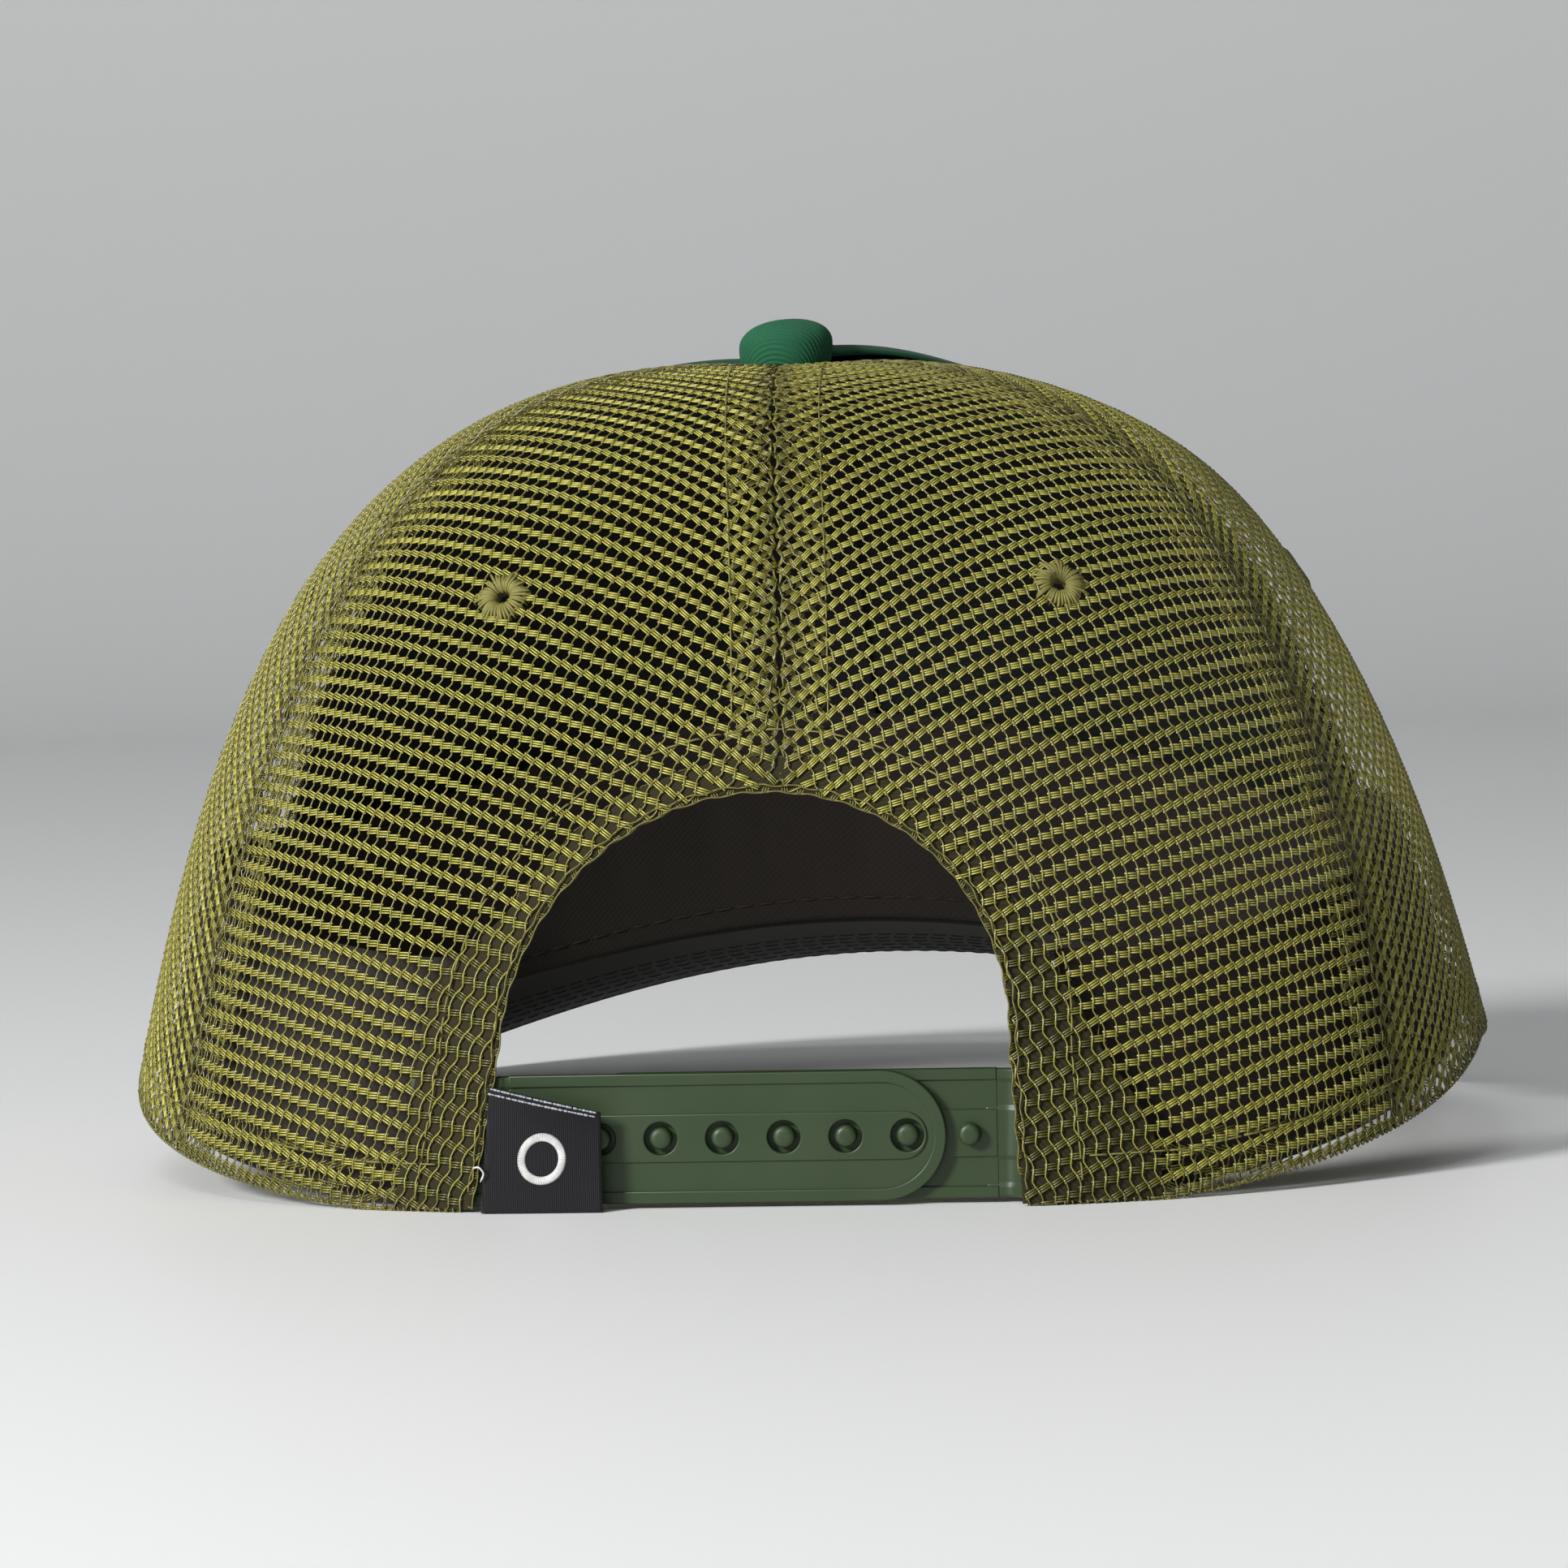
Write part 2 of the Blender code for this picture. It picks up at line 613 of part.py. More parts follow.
def main():
    clear_scene()
    cap = bpy.data.objects.new("cap", None)
    bpy.context.scene.collection.objects.link(cap)
    cap.location = (0, CAP_SHIFT_Y, 0)
    mesh_mat = material("olive_mesh", (0.16, 0.14, 0.045), 0.5)
    twill = material("green_twill", (0.03, 0.16, 0.09), 0.8)
    thread = material("olive_thread", (0.12, 0.13, 0.05), 0.6)
    lining = material("buckram_weave", (0.55, 0.55, 0.50), 0.9)
    tape = material("seam_tape", (0.03, 0.03, 0.03), 0.8)
    band = material("brown_sweatband", (0.022, 0.017, 0.014), 0.8)
    under = material("grey_under_cloth", (0.06, 0.05, 0.045), 0.85)
    board = material("visor_board", (0.75, 0.75, 0.72), 0.5)
    plastic = material("green_strap_plastic", (0.06, 0.12, 0.06), 0.45)
    satin = material("black_label_satin", (0.012, 0.012, 0.016), 0.5)
    steel = material("zinc_plated_steel", (0.55, 0.55, 0.55), 0.35, 1.0)
    cutter = material("cutter", (1.0, 0.2, 0.2), 0.5)

    crown(mesh_mat, twill, cutter)
    eyelets(thread, twill)
    front_buckram(lining)
    seam_tape("centre_front_tape", 180, tape)
    seam_tape("side_front_tape_left", 120, tape)
    seam_tape("side_front_tape_right", -120, tape)
    sweatband(band)
    opening_facing(mesh_mat)
    visor(twill, under, board)
    pin_strap_y = HOLE_STRAP_Y - GAP - STRAP
    strap("hole_strap", 1, HOLE_STRAP_Y, False, plastic, cutter)
    strap("pin_strap", -1, pin_strap_y, True, plastic, cutter)
    strap_anchor("hole_strap_anchor", 1, plastic)
    strap_anchor("pin_strap_anchor", -1, plastic)
    woven_label(satin)
    button(twill, steel)


main()
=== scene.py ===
"""Looks of the trucker cap: knitted mesh, twill, moulded strap, label, button and stitching.

Every piece is built on the crown's own surface, whose formula repeats the design's and adds soft dents:
azimuth phi runs from the back (+Y) towards the wearer's left (+X), and t from the hem (0) to the apex (1).
Lengths are in metres, written as millimetres times MM.
"""

import math

import bmesh
import bpy
import numpy as np
from mathutils import Matrix, Vector


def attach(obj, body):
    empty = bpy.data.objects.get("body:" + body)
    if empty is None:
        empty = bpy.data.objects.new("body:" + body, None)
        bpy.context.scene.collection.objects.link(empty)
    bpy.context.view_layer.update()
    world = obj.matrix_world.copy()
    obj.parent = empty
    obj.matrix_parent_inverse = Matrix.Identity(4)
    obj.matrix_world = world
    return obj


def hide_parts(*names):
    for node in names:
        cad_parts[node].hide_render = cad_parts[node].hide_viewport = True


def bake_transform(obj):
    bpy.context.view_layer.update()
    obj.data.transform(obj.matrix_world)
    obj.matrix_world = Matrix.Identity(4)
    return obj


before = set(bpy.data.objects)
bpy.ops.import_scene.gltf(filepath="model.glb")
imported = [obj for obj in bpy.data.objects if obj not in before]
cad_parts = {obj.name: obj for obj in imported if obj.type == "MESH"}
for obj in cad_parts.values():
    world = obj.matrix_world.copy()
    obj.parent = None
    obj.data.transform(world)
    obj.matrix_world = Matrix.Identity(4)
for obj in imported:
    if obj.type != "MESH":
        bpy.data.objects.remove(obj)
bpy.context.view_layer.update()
MM = 0.001
RANDOM = np.random.default_rng(7)

# ---------------------------------------------------------------- driving dimensions

HALF_WIDTH, HALF_LENGTH, PLAN_POWER = 97.2 * MM, 84.0 * MM, 2.4
APEX_Z = 113.0 * MM
BACK_HANDLES = (0.955, 48.0 * MM, 0.80, 120.0 * MM)
SIDE_HANDLES = (0.90, 57.0 * MM, 0.724, 121.0 * MM)
FRONT_HANDLES = (0.98, 72.0 * MM, 0.74, 124.0 * MM)
CROWN_LEAN, CROWN_TWIST = 1.8 * MM, math.radians(3.2)
BACK_RIM_Z, LEFT_RIM_Z, RIGHT_RIM_Z = 0.15 * MM, 13.0 * MM, 16.0 * MM
BACK_REST_Y, SIDE_RISE_Y = 74.0 * MM, 15.0 * MM
CAP_SHIFT_Y = 36.35 * MM
# soft dents and swells of the slack crown, which the solids don't have:
# azimuth and its spread in degrees, t and its spread, metres outward
CROWN_DENTS = (
    (-72, 30, 0.66, 0.15, 2.4 * MM),
    (-27, 12, 0.64, 0.11, -1.7 * MM),
    (25, 16, 0.55, 0.16, -0.7 * MM),
)
HEM_SPEED = 150 * MM  # length up the crown for one unit of t, near the hem

VISOR_HALF_WIDTH, VISOR_REACH, VISOR_CENTRE_Y = 89.0 * MM, 84.0 * MM, -70.0 * MM
VISOR_POWER, VISOR_TIP_Z, VISOR_SLOPE = 2.15, 16.33 * MM, 0.1443
VISOR_BEND = (2.6, 3.4)
VISOR_END, VISOR_TURN = math.radians(116.5), math.radians(109.5)
VISOR_STACK, COVER = 3.7 * MM, 0.6 * MM

PANEL, LINING_DEPTH, LINING = 0.8 * MM, 1.1 * MM, 0.5 * MM
TAPE_DEPTH, TAPE, TAPE_WIDTH, TAPE_FOOT = 2.2 * MM, 0.5 * MM, 14.0 * MM, 0.05
BAND_DEPTH, BAND, BAND_HEIGHT = 3.3 * MM, 1.4 * MM, 33.0 * MM
BAND_LIFT, BAND_START = 1.5 * MM, math.radians(27)
ANCHOR_DEPTH, ANCHOR, ANCHOR_END = 1.8 * MM, 1.2 * MM, 14.1 * MM

OPENING_HALF, OPENING_FLARE, OPENING_SPRING_Z = 34.4 * MM, 2.8 * MM, 21.4 * MM
OPENING_FOOT_X, OPENING_TOP_X = 2.3 * MM, -1.2 * MM

EYELET_RADIUS, EYELET_BORE, EYELET_Z = 3.75 * MM, 1.0 * MM, 82.5 * MM
EYELET_AZIMUTHS = {"back": 34.5, "side": 90, "front": 148}

STRAP_HEIGHT, STRAP, STRAP_Z, HOLE_STRAP_Y = 17.5 * MM, 1.4 * MM, 9.5 * MM, 76.3 * MM
STUD_PITCH, STUD_FROM_TIP, STUD_COUNT = 8.35 * MM, 5.2 * MM, 7
STRAP_LENGTH, STRAP_HALF_SPAN, STRAP_CENTRE_X = 59.9 * MM, 33.825 * MM, 1.3 * MM
HOLE_RADIUS, STUD_RADIUS, STUD_HEIGHT = 2.25 * MM, 1.5 * MM, 1.9 * MM
STRAP_RIM, STRAP_RECESS, STRAP_SPINE, ROOT_CLEAR = 1.6 * MM, 0.35 * MM, 6.5 * MM, 0.9 * MM
STRAP_GAP = 0.3 * MM

LABEL_X, LABEL_Y, LABEL_WIDTH = 38.3 * MM, 81.0 * MM, 16.6 * MM
LABEL_LOW, LABEL_HIGH, LABEL_FREE_HIGH, LABEL_LEAN = 0.1 * MM, 17.2 * MM, 13.6 * MM, 1.6 * MM

BUTTON_RADIUS, BUTTON_HEIGHT, BUTTON_WALL, BUTTON_BASE_Z = 6.75 * MM, 5.6 * MM, 0.6 * MM, 114.1 * MM
BUTTON_MIDDLE, BUTTON_SKIRT, BUTTON_TILT = 2.2 * MM, 5.2 * MM, 0.07

# Knitted mesh: wales one pitch apart, and two kinds of row in each repeat.
WALE, REPEAT = 1.82 * MM, 4.7 * MM
ROW_TILT = math.radians(17)  # rows fall towards the back of the cap
STRAND_STEP, STRAND_RADIUS = 0.35 * MM, 0.125 * MM
ROW_A_TURN, ROW_B_TURN = math.radians(-12), math.radians(15)
WALE_THIN, WALE_THICK = 0.11 * MM, 0.15 * MM
ROW_DROOP = 6.4  # 1/m: how fast straight rows of cloth turn down away from a gore's centre line
FOLD_RADIUS, SEAM_ALLOWANCE, HEM_ALLOWANCE = 0.4 * MM, 8.0 * MM, 9.0 * MM
BINDING_LEFT, BINDING_RIGHT, BINDING_TOP, BINDING_WRAP = 11.5 * MM, 19.0 * MM, 4.8 * MM, 1.1 * MM
INNER_PLY, INNER_PLY_INSET, INNER_PLY_DEPTH = 0.3 * MM, 0.3 * MM, 0.46 * MM

FRONT_LIFT = {"left": 0.5 * MM, "right": 2.1 * MM}  # how far the slack panels stand up beside the button


def linear(red, green, blue):
    """An sRGB colour of 0 to 255 as linear light."""
    values = [c / 255 for c in (red, green, blue)]
    return [c / 12.92 if c <= 0.04045 else ((c + 0.055) / 1.055) ** 2.4 for c in values]


# ---------------------------------------------------------------- crown surface, on arrays


def smooth(low, high, value):
    x = np.clip((value - low) / (high - low), 0, 1)
    return x * x * (3 - 2 * x)


def unit(vectors):
    return vectors / np.maximum(np.linalg.norm(vectors, axis=-1, keepdims=True), 1e-12)


def visor_z(x, y):
    bend = VISOR_BEND[0] + (VISOR_BEND[1] - VISOR_BEND[0]) * smooth(-42 * MM, -100 * MM, y)
    return VISOR_TIP_Z + VISOR_SLOPE * (y - VISOR_CENTRE_Y + VISOR_REACH) - bend * x * x


def rim_radius(phi):
    across = (np.abs(np.sin(phi)) / HALF_WIDTH) ** PLAN_POWER
    along = (np.abs(np.cos(phi)) / HALF_LENGTH) ** PLAN_POWER
    return (across + along) ** (-1 / PLAN_POWER)


def rim_z(phi):
    radius = rim_radius(phi)
    x, y = radius * np.sin(phi), radius * np.cos(phi)
    rise = np.clip((BACK_REST_Y - y) / (BACK_REST_Y - SIDE_RISE_Y), 0, 1)
    side_z = np.where(phi > 0, LEFT_RIM_Z, RIGHT_RIM_Z)
    plain = BACK_RIM_Z + (side_z - BACK_RIM_Z) * rise
    on_visor = visor_z(x, y) + VISOR_STACK + 0.6 * MM
    share = smooth(math.radians(106), math.radians(117), np.abs(phi))
    return plain + (on_visor - plain) * share


def surface(phi, t):
    """Points of the crown's outer surface in the cap's frame, before the shift along Y."""
    phi = np.remainder(np.asarray(phi, float) + math.pi, math.tau) - math.pi
    t = np.asarray(t, float)
    back, front = np.maximum(np.cos(phi), 0) ** 2, np.maximum(-np.cos(phi), 0) ** 2
    side = 1 - back - front
    triples = zip(BACK_HANDLES, SIDE_HANDLES, FRONT_HANDLES)
    low_r, low_z, high_r, high_z = [b * back + s * side + f * front for b, s, f in triples]
    a, b, c, d = (1 - t) ** 3, 3 * (1 - t) ** 2 * t, 3 * (1 - t) * t * t, t**3
    radius = rim_radius(phi) * (a + b * low_r + c * high_r)
    for azimuth, spread, middle, rise, out in CROWN_DENTS:
        far = ((phi - math.radians(azimuth)) / math.radians(spread)) ** 2 + ((t - middle) / rise) ** 2
        radius = radius + out * np.exp(-far)
    z = a * rim_z(phi) + b * low_z + c * high_z + d * APEX_Z
    turned = phi - CROWN_TWIST * np.sin(math.pi * t)
    lean = CROWN_LEAN * np.maximum(z / APEX_Z, 0) ** 1.5
    return np.stack([radius * np.sin(turned) + lean, radius * np.cos(turned), z], -1)


def normals(phi, t):
    step = 1e-3
    t = np.clip(t, step, 1 - 4 * step)
    along = surface(phi, t + step) - surface(phi, t - step)
    around = surface(phi + step, t) - surface(phi - step, t)
    return unit(np.cross(along, around))


def on_crown(phi, t, height):
    """Points at a height above the crown, in the frame's own place."""
    points = surface(phi, t) + normals(phi, t) * np.asarray(height)[..., None]
    points[..., 1] += CAP_SHIFT_Y
    return points


def reach_at(phi, t):
    points = surface(phi, t)
    return np.hypot(points[..., 0], points[..., 1])


def t_at_z(phi, z):
    """The t of the crown at each azimuth where its height is z."""
    phi, z = np.broadcast_arrays(np.asarray(phi, float), np.asarray(z, float))
    low, high = np.full(phi.shape, -0.06), np.full(phi.shape, 0.75)
    for _ in range(30):
        middle = (low + high) / 2
        under = surface(phi, middle)[..., 2] < z
        low, high = np.where(under, middle, low), np.where(under, high, middle)
    return (low + high) / 2


def t_at_reach(phi, reach):
    """The t near the apex where the crown is this far from its axis."""
    phi = np.asarray(phi, float)
    low, high = np.full(phi.shape, 0.5), np.full(phi.shape, 1.0)
    for _ in range(30):
        middle = (low + high) / 2
        wide = reach_at(phi, middle) > reach
        low, high = np.where(wide, middle, low), np.where(wide, high, middle)
    return low


def back_place(x, z):
    """(phi, t) of points of the crown's back, given their x and z."""
    x, z = np.broadcast_arrays(np.asarray(x, float), np.asarray(z, float))
    phi = np.arcsin(np.clip(x / (1.1 * HALF_LENGTH), -0.99, 0.99))
    for _ in range(25):
        t = t_at_z(phi, z)
        phi = phi - (surface(phi, t)[..., 0] - x) / (HALF_LENGTH * 0.95)
    return phi, t_at_z(phi, z)


# ---------------------------------------------------------------- cloth laid on the crown


def between(table, x, y):
    """Bilinear value of a table at places between its rows and columns."""
    x = np.clip(x, 0, table.shape[0] - 1.001)
    y = np.clip(y, 0, table.shape[1] - 1.001)
    i, j = x.astype(int), y.astype(int)
    fx, fy = x - i, y - j
    low = table[i, j] * (1 - fx) + table[i + 1, j] * fx
    high = table[i, j + 1] * (1 - fx) + table[i + 1, j + 1] * fx
    return low * (1 - fy) + high * fy


def fold(past):
    """Where cloth lies that runs past a folded edge: (distance past the edge, depth under it)."""
    angle = np.clip((past + FOLD_RADIUS) / FOLD_RADIUS, 0, math.pi)
    beyond = np.maximum(past + FOLD_RADIUS - math.pi * FOLD_RADIUS, 0)
    bent = -FOLD_RADIUS + FOLD_RADIUS * np.sin(angle) - beyond
    along = np.where(past < -FOLD_RADIUS, past, bent)
    return along, FOLD_RADIUS * (1 - np.cos(angle)), np.cos(angle)


class Gore:
    """A flat cut of cloth laid on one gore: (u, v) in metres, u across and v up its centre line."""

    STEP = 1.0 * MM
    REACH = 66

    def __init__(self, centre_degrees):
        self.centre = math.radians(centre_degrees)
        self.side = 1 if centre_degrees > 0 else -1
        ts = np.linspace(-0.09, 0.985, 1200)
        line = surface(np.full_like(ts, self.centre), ts)
        rise = np.diff(line, axis=0)
        lengths = np.concatenate([[0], np.cumsum(np.linalg.norm(rise, axis=1))])
        lengths -= np.interp(0, ts, lengths)
        self.v_low = lengths[0]
        rows = int((lengths[-1] - lengths[0]) / self.STEP)
        vs = self.v_low + self.STEP * np.arange(rows)
        t = np.interp(vs, lengths, ts)
        # a straight row of flat cloth droops to both sides of the centre line, more so near the top
        inward = np.interp(vs, lengths[1:], np.hypot(rise[:, 0], rise[:, 1]) / np.maximum(rise[:, 2], 1e-9))
        droop = ROW_DROOP + 0.5 * inward / np.maximum(reach_at(self.centre, t), 1 * MM)
        droop = np.clip(droop, 0, 1 / (55 * MM))
        offsets = np.linspace(-1.45, 1.45, 581)
        points = surface(self.centre + offsets[:, None], t[None, :])
        across = np.linalg.norm(np.diff(points, axis=0), axis=2)
        across = np.concatenate([np.zeros((1, rows)), np.cumsum(across, axis=0)])
        across -= across[len(offsets) // 2]
        us = self.STEP * np.arange(-self.REACH, self.REACH + 1)
        flat = np.stack([np.interp(us, across[:, j], offsets) for j in range(rows)], 1)
        v_there = vs[None, :] - droop[None, :] * us[:, None] ** 2 / 2
        place = np.clip((v_there - self.v_low) / self.STEP, 0, rows - 1.001)
        low = place.astype(int)
        share = place - low
        k = np.arange(len(us))[:, None]
        self.phi = self.centre + flat[k, low] * (1 - share) + flat[k, low + 1] * share
        self.t = np.interp(v_there, vs, t)

    def look_up(self, table, u, v):
        return between(table, u / self.STEP + self.REACH, (v - self.v_low) / self.STEP)

    def lay(self, u, v, height):
        """Points of cloth at (u, v) folded under past the seams and the hem, and what there is to keep."""
        phi, t = self.look_up(self.phi, u, v), self.look_up(self.t, u, v)
        offset, reach = phi - self.centre, reach_at(phi, t)
        seam = (np.abs(offset) - math.radians(30)) * reach
        hem = -t * HEM_SPEED
        along, seam_depth, seam_face = fold(seam)
        folded = self.centre + np.sign(offset) * (math.radians(30) + along / np.maximum(reach, 1 * MM))
        down, hem_depth, hem_face = fold(hem)
        points = on_crown(folded, -down / HEM_SPEED, height * seam_face * hem_face - seam_depth - hem_depth)
        allowed = (seam < np.minimum(SEAM_ALLOWANCE, 0.6 * reach)) & (hem < HEM_ALLOWANCE)
        allowed &= (reach > 4.5 * MM) & (np.abs(u) < (self.REACH - 1) * MM) & (v > self.v_low)
        return points, allowed, np.maximum(seam, hem)


def opening_shift(z):
    share = np.maximum(z, 0) / (OPENING_SPRING_Z + OPENING_HALF)
    return OPENING_FOOT_X + (OPENING_TOP_X - OPENING_FOOT_X) * share


def arch_depth(x, z):
    """How far inside the back opening a point is, in metres; negative outside it."""
    across = x - opening_shift(z)
    straight = OPENING_HALF + OPENING_FLARE * (1 - z / OPENING_SPRING_Z) - np.abs(across)
    round_part = OPENING_HALF - np.hypot(across, z - OPENING_SPRING_Z)
    return np.where(z < OPENING_SPRING_Z, straight, round_part)


class ArchStrip:
    """Cloth along the opening's edge: s runs round the edge from the wearer's left, q away from it."""

    STEP = 1.0 * MM

    def __init__(self):
        leg = OPENING_SPRING_Z - 0.4 * MM
        self.length = 2 * leg + math.pi * OPENING_HALF
        s = np.arange(0, self.length + self.STEP, self.STEP)
        q = np.arange(0, 24) * self.STEP
        s_grid, q_grid = np.meshgrid(s, q, indexing="ij")
        turn = np.clip((s_grid - leg) / OPENING_HALF, 0, math.pi)
        up = np.minimum(s_grid, leg) + 0.4 * MM
        down = np.maximum(s_grid - leg - math.pi * OPENING_HALF, 0)
        on_arc = (s_grid > leg) & (down == 0)
        height = np.where(on_arc, OPENING_SPRING_Z, np.where(down > 0, OPENING_SPRING_Z - down, up))
        reach = OPENING_HALF + q_grid
        flare = OPENING_FLARE * (1 - height / OPENING_SPRING_Z)
        x = np.cos(turn) * (reach + flare)
        z = height + np.sin(turn) * reach
        self.phi, self.t = back_place(x + opening_shift(z), z)

    def look_up(self, table, s, q):
        return between(table, s / self.STEP, q / self.STEP)

    def place(self, s, q, height):
        return on_crown(self.look_up(self.phi, s, q), self.look_up(self.t, s, q), height)

    def wrap(self, s, q, height):
        """Cloth wrapped round the edge: q below zero is on the outside, above zero on the inside."""
        along, depth, face = fold(q)
        return self.place(s, -along, height * face - depth + 0.12 * MM)


# ---------------------------------------------------------------- mesh builders


def linked(name, data):
    """A new object in the scene."""
    obj = bpy.data.objects.new(name, data)
    bpy.context.scene.collection.objects.link(obj)
    return obj


def new_object(name, co, groups, material):
    """A mesh object from groups of faces, each an array (faces, corners) of vertex numbers."""
    mesh = bpy.data.meshes.new(name)
    mesh.vertices.add(len(co))
    mesh.vertices.foreach_set("co", np.ascontiguousarray(co, np.float32).ravel())
    loops = np.concatenate([group.ravel() for group in groups]).astype(np.int32)
    corners = np.concatenate([np.full(len(group), group.shape[1]) for group in groups])
    mesh.loops.add(len(loops))
    mesh.loops.foreach_set("vertex_index", loops)
    mesh.polygons.add(len(corners))
    mesh.polygons.foreach_set("loop_start", (np.cumsum(corners) - corners).astype(np.int32))
    mesh.update(calc_edges=True)
    mesh.shade_smooth()
    mesh.materials.append(material)
    return linked(name, mesh)


def set_points(obj, name, values):
    attribute = obj.data.attributes.new(name, "FLOAT", "POINT")
    attribute.data.foreach_set("value", np.ascontiguousarray(values, np.float32).ravel())


def set_uv(obj, corners):
    layer = obj.data.uv_layers.new(name="OFBake")
    layer.data.foreach_set("uv", corners.astype(np.float32).ravel())


def tubes(name, paths, radii, material, uvs=None, painted_shade=None, kinds=None, sides=4):
    """One mesh of many tubes. paths is (tubes, points, 3), radii one or (tubes, points)."""
    count, points = paths.shape[:2]
    radii = np.broadcast_to(radii, (count, points))
    along = unit(np.gradient(paths, axis=1))
    outward = paths - np.array([0, CAP_SHIFT_Y, 30 * MM])
    across = unit(np.cross(along, outward))
    up = np.cross(across, along)
    angles = np.arange(sides) * math.tau / sides + math.pi / sides
    ring = across[:, :, None] * np.cos(angles)[:, None] + up[:, :, None] * np.sin(angles)[:, None]
    co = (paths[:, :, None] + ring * radii[:, :, None, None]).reshape(-1, 3)
    index = np.arange(count * points * sides).reshape(count, points, sides)
    turned = np.roll(index, -1, axis=2)
    quads = np.stack([index[:, :-1], index[:, 1:], turned[:, 1:], turned[:, :-1]], -1).reshape(-1, 4)
    caps = np.concatenate([index[:, 0], index[:, -1, ::-1]])
    obj = new_object(name, co, [quads, caps], material)
    # the hem attribute carries the painted shade for the yarn material
    if painted_shade is not None:
        set_points(obj, "hem", np.repeat(painted_shade.ravel(), sides))
    if kinds is not None:
        set_points(obj, "kind", np.repeat(kinds.ravel(), sides))
    if uvs is not None:
        flat = np.repeat(uvs.reshape(-1, 2), sides, axis=0)
        set_uv(obj, flat[np.concatenate([quads.ravel(), caps.ravel()])])
    return obj


def shares(length, count, edge):
    """Places from 0 to 1 over a length, with extra ones near both ends for a rounded edge."""
    ends = np.array([0, 0.08, 0.3, 0.62, 1.0]) * edge / length
    inner = np.linspace(ends[-1], 1 - ends[-1], count)
    return np.concatenate([ends[:-1], inner, 1 - ends[-2::-1]])


def shell(name, middle, thickness, material, edge=0.8 * MM, relief=0.0, under=0.0):
    """A closed sheet round a grid of mid-surface points, with rounded edges.

    Its outer face is on the side of cross(rows, columns). relief and under lift the two faces further.
    """
    rows, cols = middle.shape[:2]
    normal = unit(np.cross(np.gradient(middle, axis=0), np.gradient(middle, axis=1)))
    zero_row, zero_col = np.zeros((1, cols)), np.zeros((rows, 1))
    v = np.concatenate([zero_row, np.cumsum(np.linalg.norm(np.diff(middle, axis=0), axis=2), 0)], 0)
    u = np.concatenate([zero_col, np.cumsum(np.linalg.norm(np.diff(middle, axis=1), axis=2), 1)], 1)
    margin = np.minimum.reduce([v, v[-1] - v, u, u[:, -1:] - u])
    ease = np.sqrt(1 - (1 - np.clip(margin / edge, 0, 1)) ** 2)
    half = thickness / 2 * ease
    top = middle + normal * (half + relief * ease)[..., None]
    bottom = middle - normal * (half + under * ease)[..., None]
    count = rows * cols
    number = np.arange(count).reshape(rows, cols)
    on_rim = np.zeros((rows, cols), bool)
    on_rim[[0, -1]] = True
    on_rim[:, [0, -1]] = True
    lower = np.where(on_rim, number, 0)
    inner_count = count - on_rim.sum()
    lower[~on_rim] = count + np.arange(inner_count)
    co = np.concatenate([top.reshape(-1, 3), bottom[~on_rim]])

    def quads(index, flipped):
        a, b, c, d = index[:-1, :-1], index[1:, :-1], index[1:, 1:], index[:-1, 1:]
        loop = [a, d, c, b] if flipped else [a, b, c, d]
        return np.stack(loop, -1).reshape(-1, 4)

    obj = new_object(name, co, [quads(number, False), quads(lower, True)], material)
    mid_u = u - u[:, -1:] / 2
    cloth = np.stack([mid_u, v, np.zeros_like(u)], -1)
    attribute = obj.data.attributes.new("cloth", "FLOAT_VECTOR", "POINT")
    both = np.concatenate([cloth.reshape(-1, 3), cloth[~on_rim]])
    attribute.data.foreach_set("vector", both.astype(np.float32).ravel())
    flat_u = (mid_u / (u.max() * 1.02) + 0.5) * 0.48
    flat_v = v / (v.max() * 1.02)
    uv = np.stack([flat_u, flat_v], -1).reshape(-1, 2)
    top_uv, low_uv = uv[quads(number, False).ravel()], uv[quads(number, True).ravel()] + [0.5, 0.0]
    set_uv(obj, np.concatenate([top_uv, low_uv]))
    return obj


def crown_piece(name, phi_range, t_range, depth, thickness, material, size, counts, **more):
    """A shell parallel to the crown. t_range gives (low, high) for an array of azimuths."""
    a = shares(size[0], counts[0], 0.8 * MM)
    b = shares(size[1], counts[1], 0.8 * MM)
    phi = phi_range[0] + (phi_range[1] - phi_range[0]) * a
    low, high = t_range(phi)
    t = low[None, :] + (high - low)[None, :] * b[:, None]
    phi = np.broadcast_to(phi, t.shape)
    bump = more.pop("bump", None)
    level = -depth - thickness / 2 + (bump(phi, t) if bump else 0)
    return shell(name, on_crown(phi, t, np.broadcast_to(level, t.shape)), thickness, material, **more)


def along_path(points, spacing):
    """Arc lengths of a dense path, and the places of stitches along it."""
    steps = np.concatenate([[0], np.cumsum(np.linalg.norm(np.diff(points, axis=0), axis=1))])
    return steps, int(steps[-1] / spacing)


def stitches(name, points, outward, material, slot, length=2.3 * MM, gap=0.55 * MM, radius=0.15 * MM):
    """A row of thread stitches along paths; each path is dense points with their outward directions."""
    found = []
    for path, out in zip(points, outward):
        steps, count = along_path(path, length + gap)
        for k in range(count):
            places = (k + 0.5) * (length + gap) + length * np.array([-0.52, -0.42, -0.15, 0.15, 0.42, 0.52])
            lift = np.array([-0.30, 0.08, 0.16, 0.16, 0.08, -0.30]) * MM
            at = np.stack([np.interp(places, steps, path[:, i]) for i in range(3)], -1)
            up = np.stack([np.interp(places, steps, out[:, i]) for i in range(3)], -1)
            found.append(at + unit(up) * lift[:, None])
    paths = np.array(found)
    obj = tubes(name, paths, radius, material, sides=6 if len(paths) < 300 else 4)
    finish_piece(obj)


